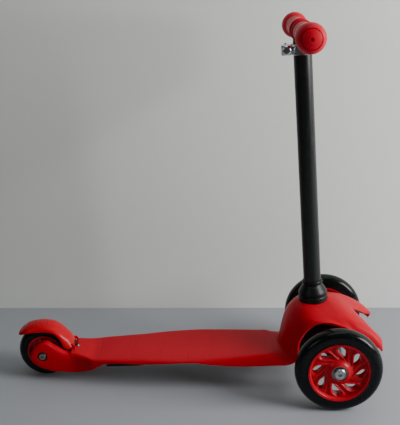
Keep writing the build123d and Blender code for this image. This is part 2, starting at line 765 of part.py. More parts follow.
bolt_x = -clamp_ring_r - 6.1
clamp_mid = post_z(clamp_top_z) - clamp_height / 2
lever_pivot_y = clamp_ring_r - 3.2
cam_r = 5.6


def clamp_collar():
    low, high = clamp_mid - clamp_height / 2, clamp_mid + clamp_height / 2 - 1.6
    body = ring(clamp_ring_r, 0, low, high)
    body += box_between((bolt_x - 6.8, -10), (-6.4, 6.4), (low, high))
    body -= ring(lower_tube_r + seat_gap, 0, low - 1, high + 1)
    body -= box_between((-40, -8), (-0.9, 0.9), (low - 1, high + 1))
    body -= Location((bolt_x, 0, clamp_mid), (90, 0, 0)) * Cylinder(2.5 + seat_gap, 40)
    return post * body


def clamp_bolt():
    """Runs through both ears and ends in an eye for the lever's pin."""
    shank = Location((bolt_x, 0, clamp_mid), (-90, 0, 0)) * ring(2.5, 0, -12.6, lever_pivot_y)
    eye = Pos(bolt_x, lever_pivot_y, clamp_mid) * ring(3.4, 0, -2.6, 2.6)
    hole = Pos(bolt_x, lever_pivot_y, clamp_mid) * ring(1.5 + seat_gap, 0, -5, 5)
    return post * (shank + eye - hole)


def clamp_nut():
    outline = [(2.5 + seat_gap, 6.5), (5.0, 6.5), (6.2, 7.6), (6.2, 11.6), (5.0, 13.0),
               (2.5 + seat_gap, 13.0)]
    return post * (Location((bolt_x, 0, clamp_mid), (90, 0, 0)) * turned(outline))


def clamp_lever():
    """Cam plates above and below the bolt's eye, and a handle that lies beside the post when closed."""
    body = ring(cam_r, 0, -6.0, 6.0) - ring(cam_r + 1, 0, -3.0, 3.0)
    body += box_between((0.6, 40), (4.4, 7.0), (-6.0, 6.0))
    body += Pos(40, 5.7, 0) * Cylinder(2.4, 12)
    body -= ring(1.5 + seat_gap, 0, -10, 10)
    return post * (Pos(bolt_x, lever_pivot_y, clamp_mid) * body)


def lever_pin():
    return post * (Pos(bolt_x, lever_pivot_y, clamp_mid) * ring(1.5, 0, -6.4, 6.4))


# ---------------------------------------------------------------- write every node

def write_deck():
    save("deck_shell", deck_shell())
    save("deck_underplate", underplate())
    save("underplate_screws", *[Pos(x, y, plate_height(x) - face_gap - 0.6) * pan_screw(12)
                                for x, y in plate_screws])
    save("front_chassis", front_chassis())
    save("chassis_screws", *[Pos(x, y, chassis_plate_z[0] - face_gap) * pan_screw(9.5)
                             for x, y in chassis_screw_places])


def write_front_axle():
    save("axle_beam", axle_beam())
    save("kingpin_bushes", *kingpin_bushes())
    save("kingpin_bolt", kingpin_bolt())
    save("kingpin_nut", kingpin_nut())
    for name, side in (("left", 1), ("right", -1)):
        save(f"steering_spring_{name}", steering_spring(side))
        place = along_y(0, front_wheel_r, side) * Pos(0, 0, half_track)
        save(f"front_tyre_{name}", place * tyre(front_wheel_r, front_rim_r))
        save(f"front_hub_{name}", place * front_hub())
        save(f"front_bearings_{name}", *[place * b for b in bearing_pair()])
        save(f"front_axle_sleeve_{name}", place * axle_sleeve())
        save(f"front_axle_bolt_{name}", place * front_axle_bolt())


def write_rear():
    place = along_y(-wheelbase, rear_wheel_r)
    save("rear_tyre", place * tyre(rear_wheel_r, rear_rim_r))
    save("rear_hub", place * rear_hub())
    save("rear_bearings", *[place * b for b in bearing_pair()])
    save("rear_axle_sleeve", place * axle_sleeve())
    save("rear_axle_bolt", rear_axle_bolt())
    save("rear_axle_nut", rear_axle_nut())
    save("rear_side_spacers", *rear_side_spacers())
    save("brake_fender", brake_fender())
    save("brake_wear_plate", brake_wear_plate())
    save("brake_bracket", brake_bracket())
    save("brake_screw", brake_screw())
    save("brake_hinge_pin", brake_hinge_pin())
    save("brake_spring", brake_spring())


def write_post():
    save("stem_collar", stem_collar())
    save("lower_tube", lower_tube())
    save("post_screw", post_screw())
    save("post_screw_nut", post_screw_nut())
    save("post_bushing", post_bushing())
    save("upper_tube", upper_tube())
    save("foot_plug", foot_plug())
    save("crossbar", crossbar())
    save("tee_socket", tee_socket())
    save("clamp_collar", clamp_collar())
    save("clamp_bolt", clamp_bolt())
    save("clamp_nut", clamp_nut())
    save("clamp_lever", clamp_lever())
    save("lever_pin", lever_pin())
    for name, side in (("left", 1), ("right", -1)):
        save(f"grip_{name}", handle_place(side) * grip())
        save(f"grip_rings_{name}", *grip_rings(side))


write_deck()
write_front_axle()
write_rear()
write_post()
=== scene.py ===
# %% [markdown]
# # A child's three-wheeled kick scooter
# This notebook dresses a finished engineering model. The model already has every part at its real
# size, so the work here is the look: smooth moulded shells, cast tyres, swirled hubs, soft grips and
# the finish of each material. New pieces are surfaces worked out with numpy. Each is a function of
# two parameters laid on a grid of points, so its shape can be read from a formula or a few stations.

# %% Load the engineering model
import json
import math
import bpy
import numpy as np
from mathutils import Matrix, Vector


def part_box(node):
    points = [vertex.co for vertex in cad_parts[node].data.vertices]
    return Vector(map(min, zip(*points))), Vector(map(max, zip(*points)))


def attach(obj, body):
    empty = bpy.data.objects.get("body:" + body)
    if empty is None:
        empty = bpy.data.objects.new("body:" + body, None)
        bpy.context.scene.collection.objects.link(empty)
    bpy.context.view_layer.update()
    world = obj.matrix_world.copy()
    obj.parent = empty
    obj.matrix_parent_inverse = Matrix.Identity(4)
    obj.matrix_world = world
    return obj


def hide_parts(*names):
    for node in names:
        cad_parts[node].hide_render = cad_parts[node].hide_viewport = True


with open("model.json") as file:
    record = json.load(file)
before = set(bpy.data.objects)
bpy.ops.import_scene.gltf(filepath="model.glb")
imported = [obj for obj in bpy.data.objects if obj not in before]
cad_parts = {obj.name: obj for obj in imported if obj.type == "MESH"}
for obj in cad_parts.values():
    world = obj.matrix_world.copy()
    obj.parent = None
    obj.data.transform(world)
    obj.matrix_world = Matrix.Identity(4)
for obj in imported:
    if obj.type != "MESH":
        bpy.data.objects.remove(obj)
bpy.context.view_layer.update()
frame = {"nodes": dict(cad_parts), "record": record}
MM = 0.001

# %% [markdown]
# ## Where things are
# The places of the axles, the post and the handlebar are read from the boxes of the parts that sit
# there, so a change in the engineering model moves the looks with it. Lengths below are written in
# millimetres from the front axle line, because that is how a toy maker would write them.

# %% Axles and the post line


def centre(node):
    """Middle of a part's box, in metres."""
    low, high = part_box(node)
    return (np.array(low) + np.array(high)) / 2


front_axle = centre("front_tyre_left") * (1, 0, 1)
rear_axle = centre("rear_tyre")
half_track = centre("front_tyre_left")[1]
handle = centre("crossbar")
collar_mid = centre("post_screw")
post_dir = np.array([handle[0] - collar_mid[0], 0.0, handle[2] - collar_mid[2]])
post_dir /= np.linalg.norm(post_dir)
post_rake = math.atan2(-post_dir[0], post_dir[2])
print("front axle", front_axle.round(4), "rear axle", rear_axle.round(4))
print("post leans back", round(math.degrees(post_rake), 2), "degrees")


def from_axle(points):
    """Millimetres from the front axle line (X forward, Y left, Z up from the ground) to metres."""
    return np.asarray(points, float) * MM + np.array([front_axle[0], 0.0, 0.0])


# %% [markdown]
# ## Camera
# The camera stands a little higher than the handlebar, a metre to the scooter's right, and looks
# slightly down through a portrait lens.

# %% Camera
camera_data = bpy.data.cameras.new("camera")
camera_data.lens = 65.4
camera_data.sensor_width = 36.0
camera = bpy.data.objects.new("camera", camera_data)
bpy.context.scene.collection.objects.link(camera)
camera_place = from_axle([-144.4, -1046.2, 579.3])
pitch, yaw, roll = (math.radians(a) for a in (-17.24, -2.46, -1.06))
forward = Vector((math.sin(yaw) * math.cos(pitch), math.cos(yaw) * math.cos(pitch), math.sin(pitch)))
level = Vector((math.cos(yaw), -math.sin(yaw), 0.0))
upward = level.cross(forward)
across = level * math.cos(roll) + upward * math.sin(roll)
upright = upward * math.cos(roll) - level * math.sin(roll)
turn = Matrix((across, upright, -forward)).transposed().to_4x4()
camera.matrix_world = Matrix.Translation(Vector(camera_place)) @ turn
bpy.context.scene.camera = camera
print("camera at", [round(c, 3) for c in camera_place])

# %% [markdown]
# ## Turning arrays into meshes
# A surface is an array of shape (rows, columns, 3). Rows run along the piece and columns run round
# or across it. One helper makes the faces for a whole grid at once. It can close the grid into a
# ring in either direction and can add a cap at an end, and several grids can join in one mesh.

# %% Grid to mesh


def grid_faces(rows, cols, ring_rows=False, ring_cols=False, start=0):
    """Four-sided faces of a grid of points, as an array of point numbers."""
    i = np.arange(rows if ring_rows else rows - 1)[:, None]
    j = np.arange(cols if ring_cols else cols - 1)[None, :]
    i2, j2 = (i + 1) % rows, (j + 1) % cols
    faces = np.stack([i * cols + j, i * cols + j2, i2 * cols + j2, i2 * cols + j], -1)
    return faces.reshape(-1, 4) + start


def mesh_piece(name, grids, merge=1e-6, smooth_angle=40.0):
    """One object from several (points, ring_rows, ring_cols) grids; equal points are merged."""
    points, faces, start = [], [], 0
    for surface, ring_rows, ring_cols in grids:
        rows, cols = surface.shape[:2]
        points.append(surface.reshape(-1, 3))
        faces.append(grid_faces(rows, cols, ring_rows, ring_cols, start))
        start += rows * cols
    points, faces = np.concatenate(points), np.concatenate(faces)
    keys = np.round(points / merge).astype(np.int64)
    _, first, back = np.unique(keys, axis=0, return_index=True, return_inverse=True)
    order = np.argsort(first)
    rank = np.empty_like(order)
    rank[order] = np.arange(len(order))
    points, faces = points[first[order]], rank[back.reshape(-1)][faces]
    return mesh_from(name, points, tidy_faces(faces), smooth_angle)


def tidy_faces(faces):
    """Drop repeated corners; a four-sided face with two equal corners becomes a triangle."""
    kept = []
    same = np.stack([faces[:, k] == faces[:, (k + 1) % 4] for k in range(4)], 1)
    kept += faces[~same.any(1)].tolist()
    once = faces[same.sum(1) == 1]
    where = same[same.sum(1) == 1].argmax(1)
    for k in range(4):
        kept += np.delete(once[where == k], k, axis=1).tolist()
    return [f for f in kept if len(set(f)) == len(f)]


def mesh_from(name, points, faces, smooth_angle=40.0):
    mesh = bpy.data.meshes.new(name)
    mesh.from_pydata(np.asarray(points).tolist(), [], faces)
    mesh.validate()
    piece = bpy.data.objects.new(name, mesh)
    bpy.context.scene.collection.objects.link(piece)
    mesh.shade_smooth()
    mesh.set_sharp_from_angle(angle=math.radians(smooth_angle))
    return piece


def modifier(piece, kind, **settings):
    added = piece.modifiers.new(kind.title(), kind)
    for key, value in settings.items():
        setattr(added, key, value)
    return added


def apply_modifiers(piece):
    """Bake the modifiers into the mesh, so that its final points can be measured."""
    graph = bpy.context.evaluated_depsgraph_get()
    baked = bpy.data.meshes.new_from_object(piece.evaluated_get(graph))
    piece.modifiers.clear()
    piece.data = baked
    return piece


def say(piece):
    graph = bpy.context.evaluated_depsgraph_get()
    mesh = piece.evaluated_get(graph).to_mesh()
    size = [round(d * 1000, 1) for d in piece.evaluated_get(graph).dimensions]
    print(piece.name, "faces", len(mesh.polygons), "size mm", size)


# %% [markdown]
# ## Curves from a few points
# Outlines are a handful of points joined by a smooth curve. The curve is a Catmull-Rom
# spline, which passes through every point and leaves each one along the line between its two
# neighbours. A cross section instead uses a B-spline, which rounds its corners off softly.

# %% Smooth curves


def through(points, count, closed=False):
    """Catmull-Rom curve through the points, sampled evenly in the points' own numbering."""
    p = np.asarray(points, float)
    n = len(p)
    if closed:
        t = np.arange(count) * n / count
        seg = np.floor(t).astype(int)
        ids = [(seg + k) % n for k in (-1, 0, 1, 2)]
    else:
        t = np.linspace(0, n - 1, count)
        seg = np.minimum(np.floor(t).astype(int), n - 2)
        p = np.concatenate([[2 * p[0] - p[1]], p, [2 * p[-1] - p[-2]]])
        ids = [seg + k for k in (0, 1, 2, 3)]
    f = (t - seg).reshape(-1, *[1] * (p.ndim - 1))
    a, b, c, d = (p[i] for i in ids)
    return 0.5 * (2 * b + (c - a) * f + (2 * a - 5 * b + 4 * c - d) * f**2
                  + (3 * b - a - 3 * c + d) * f**3)


def even(curve, count, closed=False):
    """The same curve again with equal steps of length."""
    p = np.concatenate([curve, curve[:1]]) if closed else curve
    run = np.concatenate([[0], np.cumsum(np.linalg.norm(np.diff(p, axis=0), axis=1))])
    at = np.linspace(0, run[-1], count + 1)[:-1] if closed else np.linspace(0, run[-1], count)
    return np.stack([np.interp(at, run, p[:, k]) for k in range(p.shape[1])], 1)


def b_spline_rows(n, count):
    """Weights of a cubic B-spline that starts and ends at its end points: (count, n) numbers."""
    knots = np.concatenate([[0, 0, 0], np.linspace(0, 1, n - 2), [1, 1, 1]])
    t = np.linspace(0, 1, count).clip(0, 1 - 1e-9)[:, None]
    w = ((t >= knots[:-1]) & (t < knots[1:])).astype(float)
    for k in (1, 2, 3):
        left = knots[k:-1] - knots[:-k - 1]
        right = knots[k + 1:] - knots[1:-k]
        a = np.where(left > 0, (t - knots[:-k - 1]) / np.where(left > 0, left, 1), 0)
        b = np.where(right > 0, (knots[k + 1:] - t) / np.where(right > 0, right, 1), 0)
        w = w[:, :-1] * a + w[:, 1:] * b
    return w


def mirror_y(surface):
    """The other side's copy, with its columns reversed so that its faces still point outwards."""
    return surface[:, ::-1] * np.array([1.0, -1.0, 1.0])


def both_halves(half):
    """The left half and its mirror image, as two open grids of one mesh."""
    return [(half[:, ::-1], False, False), (mirror_y(half)[:, ::-1], False, False)]


def cap_rows(surface):
    """Close both ends of a stack of rings with a middle point."""
    first = surface[:1] * 0 + surface[:1].mean(1, keepdims=True)
    last = surface[-1:] * 0 + surface[-1:].mean(1, keepdims=True)
    return np.concatenate([first, surface, last])



# %% [markdown]
# ## Materials written as sums
# A material is a small program of nodes. Wiring it by hand is slow to read, so a socket is wrapped in
# a class that understands + - and *: each sign adds one Math node. Colours are blended with a Mix
# node instead, because Math nodes know only single numbers.

# %% Sockets with arithmetic


class Wire:
    """An output socket that takes part in arithmetic."""

    def __init__(self, finish, socket):
        self.finish, self.socket = finish, socket

    def math(self, operation, first, second=0.0):
        return self.finish.node("ShaderNodeMath", {"operation": operation}, {0: first, 1: second})

    def __add__(self, other):
        return self.math("ADD", self, other)

    def __sub__(self, other):
        return self.math("SUBTRACT", self, other)

    def __rsub__(self, other):
        return self.math("SUBTRACT", other, self)

    def __mul__(self, other):
        return self.math("MULTIPLY", self, other)

    __radd__, __rmul__ = __add__, __mul__

    def above(self, edge, soft):
        """0 below the edge, 1 above it, with a soft step between."""
        return self.finish.node("ShaderNodeMapRange", {"interpolation_type": "SMOOTHSTEP"},
                                {0: self, 1: edge - soft, 2: edge + soft})


class Finish:
    """A material with one Principled surface; constants go straight onto its sockets."""

    def __init__(self, name, **constants):
        self.material = bpy.data.materials.new(name)
        self.material.use_nodes = True
        self.tree = self.material.node_tree
        self.surface = self.tree.nodes["Principled BSDF"]
        for socket, value in constants.items():
            self.surface.inputs[socket.replace("_", " ")].default_value = value

    def node(self, kind, settings=None, inputs=None, out=0):
        made = self.tree.nodes.new(kind)
        for key, value in (settings or {}).items():
            setattr(made, key, value)
        for key, value in (inputs or {}).items():
            if isinstance(value, Wire):
                self.tree.links.new(value.socket, made.inputs[key])
            else:
                made.inputs[key].default_value = value
        return Wire(self, made.outputs[out])

    def place(self, stretch=(1.0, 1.0, 1.0), attribute=None):
        """Object coordinates, or a stored attribute, stretched along each axis."""
        if attribute:
            start = self.node("ShaderNodeAttribute", {"attribute_name": attribute}, out="Vector")
        else:
            start = self.node("ShaderNodeTexCoord", out="Object")
        return self.node("ShaderNodeMapping", {}, {"Vector": start, "Scale": stretch})

    def noise(self, scale, detail=2.0, stretch=(1.0, 1.0, 1.0), rough=0.5):
        """Cloudy noise in 0..1; scale is in lumps per metre."""
        return self.node("ShaderNodeTexNoise", {}, {"Vector": self.place(stretch), "Scale": scale,
                                                    "Detail": detail, "Roughness": rough})

    def facing(self, axis):
        """How far the surface faces along X, Y or Z: 1 when square on."""
        normal = self.node("ShaderNodeNewGeometry", out="Normal")
        return self.node("ShaderNodeSeparateXYZ", {}, {0: normal}, out=axis)

    def at(self, axis):
        return self.node("ShaderNodeSeparateXYZ", {}, {0: self.place()}, out=axis)

    def blend(self, factor, colour_a, colour_b):
        return self.node("ShaderNodeMix", {"data_type": "RGBA"},
                         {0: factor, 6: (*colour_a, 1.0) if isinstance(colour_a, tuple) else colour_a,
                          7: (*colour_b, 1.0) if isinstance(colour_b, tuple) else colour_b}, out=2)

    def feed(self, socket, wire):
        self.tree.links.new(wire.socket, self.surface.inputs[socket])
        return self

    def bump(self, height, millimetres, strength=1.0):
        """Bump whose height runs from 0 to the given depth."""
        wire = self.node("ShaderNodeBump", {}, {"Height": height, "Distance": millimetres * MM,
                                                "Strength": strength})
        return self.feed("Normal", wire)


# %% [markdown]
# ## The plastics
# Moulded polypropylene has a fine grain, a slightly cloudy colour and soft scuffs where it is
# handled. Each is a noise at its own scale: a few tenths of a millimetre for the grain, centimetres
# for the cloud. Scuffs are long, thin noise that lightens the colour and dulls the gloss.

# %% Red and black plastic


def arcs(f, places, bow):
    """Thin lines across the deck: near 1 where x + bow * y * y is at one of the places (metres)."""
    y = f.at("Y")
    along = f.at("X") + y * y * bow
    found = 0.0
    for place in places:
        gap = f.node("ShaderNodeMath", {"operation": "ABSOLUTE"}, {0: along - place})
        found = (1.0 - gap.above(0.0010, 0.0006)) + found
    return found * f.facing("Z").above(0.95, 0.03)


def moulded(name, colour, deep, rough, grain, shine=0.3, scuff=0.0, cloud=1.0, lines=()):
    """Plastic: colour clouds between two tones; fine grain in bump and roughness; light scuffs."""
    f = Finish(name, Specular_IOR_Level=shine)
    clouds = f.noise(14.0, 3.0)
    base = f.blend((clouds * cloud + (0.5 - 0.5 * cloud)), colour, deep)
    scratches = f.noise(260.0, 4.0, (0.12, 1.0, 1.0), 0.6).above(0.66, 0.05)
    pale = tuple(0.55 * c + 0.45 * 0.5 for c in colour)
    f.feed("Base Color", f.blend(scratches * scuff, base, pale))
    fine = f.noise(2600.0, 2.0)
    f.feed("Roughness", fine * 0.08 + clouds * 0.06 + scratches * (scuff * 0.4) + (rough - 0.07))
    if lines:
        return f.bump(fine * 0.1 - arcs(f, lines, 2.5), 10 * grain)
    return f.bump(fine, grain)


red = (0.50, 0.002, 0.015)
deep_red = (0.44, 0.0015, 0.012)
arc_places = [front_axle[0] + MM * x for x in (-343, -293, -250, -208, -175, -141, -97)]
red_shell = moulded("moulded_red", red, deep_red, 0.38, 0.02, 0.08, 0.06, lines=arc_places)
red_fork = moulded("moulded_red_fork", red, deep_red, 0.38, 0.02, 0.08, 0.06)
red_brake = moulded("glossy_red_brake", (0.52, 0.002, 0.012), (0.46, 0.0015, 0.009), 0.20, 0.006, 0.14,
                    0.06)
red_hub = moulded("glossy_red_hub", (0.52, 0.004, 0.018), (0.45, 0.003, 0.014), 0.30, 0.008, 0.2, 0.04)
black_grain = moulded("black_plastic", (0.008, 0.008, 0.009), (0.006, 0.006, 0.007), 0.42, 0.03, 0.25, 0.12)
black_gloss = moulded("glossy_black_plastic", (0.005, 0.006, 0.006), (0.004, 0.005, 0.005), 0.38, 0.01,
                      0.22, 0.06)
pale_bush = moulded("white_bearing_plastic", (0.66, 0.65, 0.60), (0.58, 0.57, 0.52), 0.4, 0.02, 0.3, 0.0)
pale_ring = moulded("pale_ring_plastic", (0.60, 0.40, 0.38), (0.52, 0.33, 0.32), 0.45, 0.02, 0.3, 0.0)
print("plastics:", [f.material.name for f in (red_shell, red_brake, red_hub, black_grain, black_gloss)])

# %% [markdown]
# ## Rubber and cast tyre
# The grips are soft rubber with a velvety fine texture. The tyres are cast polyurethane, so they are
# glossy, with faint rings left by turning the mould and pale dust in patches.

# %% Grip rubber and tyre


def rubber(name, colour, deep, rough, grain):
    """Rubber: a velvety bump made of two fine noises, and slow clouds of colour."""
    f = Finish(name, Specular_IOR_Level=0.14)
    clouds = f.noise(30.0, 3.0)
    fine, finer = f.noise(1400.0, 3.0), f.noise(4200.0, 2.0)
    f.feed("Base Color", f.blend(clouds, colour, deep))
    f.feed("Roughness", fine * 0.12 + clouds * 0.08 + (rough - 0.1))
    return f.bump(fine * 0.6 + finer * 0.4, grain)


grip_red = rubber("grip_rubber", (0.62, 0.004, 0.024), (0.50, 0.003, 0.018), 0.42, 0.05)


def cast_tyre(name):
    """Glossy black: rings from the mould as a sine of the 'ring' attribute, and pale dust in patches."""
    f = Finish(name, Specular_IOR_Level=0.12, Coat_Roughness=0.08)
    dust = f.noise(60.0, 5.0, rough=0.65).above(0.60, 0.12)
    run = f.node("ShaderNodeAttribute", {"attribute_name": "ring"}, out="Fac")
    rings = f.node("ShaderNodeMath", {"operation": "SINE"}, {0: run * 9.0}) * 0.5 + 0.5
    fine = f.noise(1800.0, 2.0)
    f.feed("Base Color", f.blend(dust * 0.2, (0.003, 0.004, 0.004), (0.02, 0.02, 0.018)))
    f.feed("Roughness", dust * 0.16 + fine * 0.06 + 0.16)
    f.feed("Coat Weight", 0.18 - dust * 0.16)
    return f.bump(rings * 0.5 + fine * 0.5, 0.03)


tyre_black = cast_tyre("cast_black_tyre")

# %% [markdown]
# ## Metals
# Plated steel shows faint lines along the way it was drawn or turned. Stretching a noise along one
# axis gives such lines. Chrome stays almost a mirror, with a slow dulling from handling.
# Powder coat is a paint: not metallic, with the orange-peel ripple that powder leaves.

# %% Steel, chrome and powder coat


def metal(name, colour, rough, stretch, lines, fog=0.15):
    """Metal: drawn lines as a stretched noise in roughness and bump; fog is a slow dulling."""
    f = Finish(name, Metallic=1.0)
    drawn = f.noise(2400.0, 3.0, stretch)
    clouds = f.noise(45.0, 4.0)
    dull = tuple(0.72 * c for c in colour)
    f.feed("Base Color", f.blend(clouds * 0.6, colour, dull))
    f.feed("Roughness", drawn * 0.12 + clouds * fog + (rough - 0.06))
    return f.bump(drawn, lines)


zinc = metal("zinc_plated_steel", (0.56, 0.56, 0.57), 0.3, (1.0, 1.0, 0.3), 0.01)
bearing = metal("ground_bearing_steel", (0.20, 0.21, 0.21), 0.36, (1.0, 0.2, 1.0), 0.006)
spring_steel = metal("oiled_spring_wire", (0.30, 0.30, 0.31), 0.35, (1.0, 1.0, 0.1), 0.01)
tube_steel = metal("plated_tube", (0.62, 0.62, 0.64), 0.18, (1.0, 1.0, 0.02), 0.006, 0.08)
chrome = metal("chrome_plating", (0.75, 0.75, 0.77), 0.10, (1.0, 1.0, 0.6), 0.002, 0.05)
bolt_chrome = metal("worn_bolt_chrome", (0.46, 0.48, 0.47), 0.26, (1.0, 1.0, 0.6), 0.004, 0.10)
# Painted shade: the hinge pin, spring and screw are darkened so they read as the shaded hollow of the
# hinge.
hinge_shade_steel = metal("hinge_steel_painted_shade", (0.16, 0.13, 0.12), 0.34, (1.0, 1.0, 0.6), 0.006, 0.12)


def powder_coat(name):
    """Satin black paint: orange peel in bump, tiny pale specks of wear and a faint rub up and down."""
    f = Finish(name, Specular_IOR_Level=0.4)
    peel = f.noise(520.0, 3.0)
    rubs = f.noise(300.0, 3.0, (1.0, 1.0, 0.03), 0.6).above(0.62, 0.06)
    f.feed("Base Color", f.blend(rubs * 0.2, (0.004, 0.005, 0.004), (0.03, 0.031, 0.03)))
    f.feed("Roughness", peel * 0.1 + rubs * 0.12 + 0.24)
    return f.bump(peel, 0.02)


coat_black = powder_coat("black_powder_coat")
print("metals:", [f.material.name for f in (zinc, tube_steel, chrome, coat_black)])

# %% [markdown]
# ## Dressing the parts that keep their engineering shape
# Screws, tubes, the chassis and the axle are already right, so they only get a finish. The record
# says which material slot each part belongs to, and a table turns a slot into a finish.

# %% Finishes for the engineering parts
slot_finish = {"red_plastic": red_shell, "red_gloss": red_brake, "red_hub": red_hub, "red_grip": grip_red,
               "pale_ring": pale_ring, "black_plastic": black_grain, "black_gloss": black_gloss,
               "black_paint": coat_black, "bright_tube": tube_steel, "tyre": tyre_black, "steel": zinc,
               "bearing_steel": bearing, "spring_steel": spring_steel, "pale_plastic": pale_bush,
               "chrome": chrome}
slot_of = {part["node"]: part["material_slot"] for part in frame["record"]["subparts"]}


def bolt_in_painted_shadow(name):
    """Dull head inside a black ring of painted shadow for the recess round it; the ring starts where x*x +
    z*z about the axle passes 4.4 * 4.4 mm.
    """
    f = Finish(name)
    x, z = (f.at("X") - rear_axle[0]) * 1000, (f.at("Z") - rear_axle[2]) * 1000
    # Painted shadow: outside 4.4 mm the head turns black and not metallic, for the shade in the recess.
    ring = (x * x + z * z).above(19.5, 3.0)
    grime = f.noise(700.0, 4.0)
    f.feed("Base Color", f.blend(ring, f.blend(grime, (0.42, 0.36, 0.33), (0.20, 0.16, 0.14)),
                                 (0.008, 0.008, 0.008)))
    f.feed("Metallic", 1.0 - ring)
    f.feed("Roughness", grime * 0.2 + ring * 0.2 + 0.22)
    return f.bump(grime, 0.02)


# The rear bolt's black ring and the dark steel of the hinge pin, spring and screw are painted shade.
worn_and_shaded = {"rear_axle_bolt": bolt_in_painted_shadow("axle_bolt_painted_recess_shadow"), "brake_screw": hinge_shade_steel,
        "brake_hinge_pin": hinge_shade_steel, "brake_spring": hinge_shade_steel, "front_axle_bolt_left": bolt_chrome,
        "front_axle_bolt_right": bolt_chrome}
for node, slot in slot_of.items():
    part = frame["nodes"][node]
    finish = worn_and_shaded.get(node, slot_finish[slot]).material
    part.data.materials.clear()
    part.data.materials.append(finish)
print("dressed", len(slot_of), "parts in", len(set(slot_of.values())), "finishes")


def dress(piece, finish, body, slot, *nodes):
    """Give a new piece its finish, the body it rides on and the parts that it stands for."""
    piece.data.materials.clear()
    piece.data.materials.append(finish.material)
    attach(piece, body)
    if nodes:
        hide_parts(*nodes)
    say(piece)


# %% [markdown]
# ## Floor, wall and light
# A grey floor and a paler wall behind catch the soft shadow. The wall's colour is painted paler towards the
# window, as painted light.
# Both show their front face only, so they don't block a view from behind or below. One large
# window-like light comes from the front right. A weak one above and a weak fill soften the shadows.

# %% Floor and wall
stage_grey = Finish("studio_floor", Specular_IOR_Level=0.3)
stage_grey.feed("Base Color", stage_grey.blend(stage_grey.noise(2.0, 3.0), (0.33, 0.345, 0.37),
                                               (0.315, 0.33, 0.355)))
stage_grey.feed("Alpha", 1.0 - stage_grey.node("ShaderNodeNewGeometry", out="Backfacing"))
stage_grey.feed("Roughness", stage_grey.noise(40.0, 3.0) * 0.1 + 0.6)
wall_grey = Finish("studio_wall", Specular_IOR_Level=0.2)
# Painted light: the wall's colour grows paler along X, towards the key light.
painted_window_light = wall_grey.noise(1.5, 2.0) * 0.1 + (wall_grey.at("X") * 1.1 + 0.45)
wall_grey.feed("Base Color", wall_grey.blend(painted_window_light, (0.66, 0.68, 0.645), (0.84, 0.86, 0.82)))
wall_grey.feed("Alpha", 1.0 - wall_grey.node("ShaderNodeNewGeometry", out="Backfacing"))
wall_grey.feed("Roughness", wall_grey.noise(30.0, 2.0) * 0.1 + 0.7)
wall_y = 0.237


def flat(name, corners, finish):
    piece = mesh_from(name, corners, [(0, 1, 2, 3)])
    piece.data.materials.append(finish.material)


flat("floor", [(-6, -6, 0), (6, -6, 0), (6, 6, 0), (-6, 6, 0)], stage_grey)
flat("wall", [(-6, wall_y, 0), (6, wall_y, 0), (6, wall_y, 4), (-6, wall_y, 4)], wall_grey)
print("floor laid; wall behind at", wall_y)

# %% Lights


def area_light(name, place, target, size, power, colour=(1.0, 1.0, 1.0)):
    """A soft window-like light that looks at a point."""
    data = bpy.data.lights.new(name, "AREA")
    data.shape, data.size, data.size_y = "RECTANGLE", size[0], size[1]
    data.energy, data.color = power, colour
    light = bpy.data.objects.new(name, data)
    light.location = place
    light.rotation_euler = (Vector(target) - Vector(place)).to_track_quat("-Z", "Y").to_euler()
    bpy.context.scene.collection.objects.link(light)


area_light("key", (1.65, -0.5, 0.86), (0.0, 0.1, 0.2), (0.9, 0.9), 49.0)
area_light("top", (0.2, -0.2, 1.8), (0.0, 0.1, 0.0), (1.2, 0.6), 3.0)
area_light("fill", (-1.3, -1.6, 1.1), (0.0, 0.0, 0.15), (0.8, 0.8), 3.5)
world = bpy.data.worlds.new("studio")
bpy.context.scene.world = world
world.use_nodes = True
world.node_tree.nodes["Background"].inputs["Color"].default_value = (0.95, 0.97, 1.0, 1.0)
world.node_tree.nodes["Background"].inputs["Strength"].default_value = 0.06

# %% [markdown]
# ## The deck and front body: one moulded sheet
# The red body is a single injection moulding. A flat standing face runs forward, turns up into a
# round front body and splits into two blades over the wheels. Modelling it from boxes would leave
# hard joins. Instead it is one sheet S(s, v): s walks forward through a list of stations, and v runs
# from the centre line out over the shoulder to the lower edge. A station holds six points of the
# left half of a cross section. A B-spline across them rounds the shoulder, a smooth curve through
# the stations joins them, and a mirror and a wall thickness finish the shell.

# %% Stations of the deck
standing_top = np.array([-77.0, 53.6])
rise = 0.04615


def deck_station(x, crease, edge, edge_z):
    """Flat top, tight shoulder at the crease, and a side that spreads down to the edge."""
    top = standing_top[1] + rise * (x - standing_top[0])
    side_y, side_z = (crease + edge) / 2 + 1.6, (top + edge_z) / 2
    return [(x, 0, top), (x, 0.62 * crease, top), (x, crease - 1.0, top + 0.1),
            (x, crease + 2.0, top - 0.9), (x, side_y, side_z), (x, edge, edge_z)]


def cheek_station(x, top, low, out=27.15):
    """Behind the deck the sheet carries on only outside the wheel: top, round edge and flat side."""
    return [(x, 14.8, top - 0.8), (x, 18.5, top), (x, 23.5, top), (x, out, top - 0.2),
            (x, out, (top + low) / 2), (x, out - 0.2, low)]


def ramp_station(x, centre, crease, crease_z, edge, low):
    """Ahead of the wheel the middle rises in a ramp to the brake's hinge."""
    return [(x, 0, centre), (x, 0.6 * crease, centre), (x, crease - 4.5, 0.5 * (centre + crease_z) + 0.3),
            (x, crease + 0.3, crease_z + 0.2), (x, (crease + edge) / 2 + 0.3, (crease_z + low) / 2),
            (x, edge, low)]


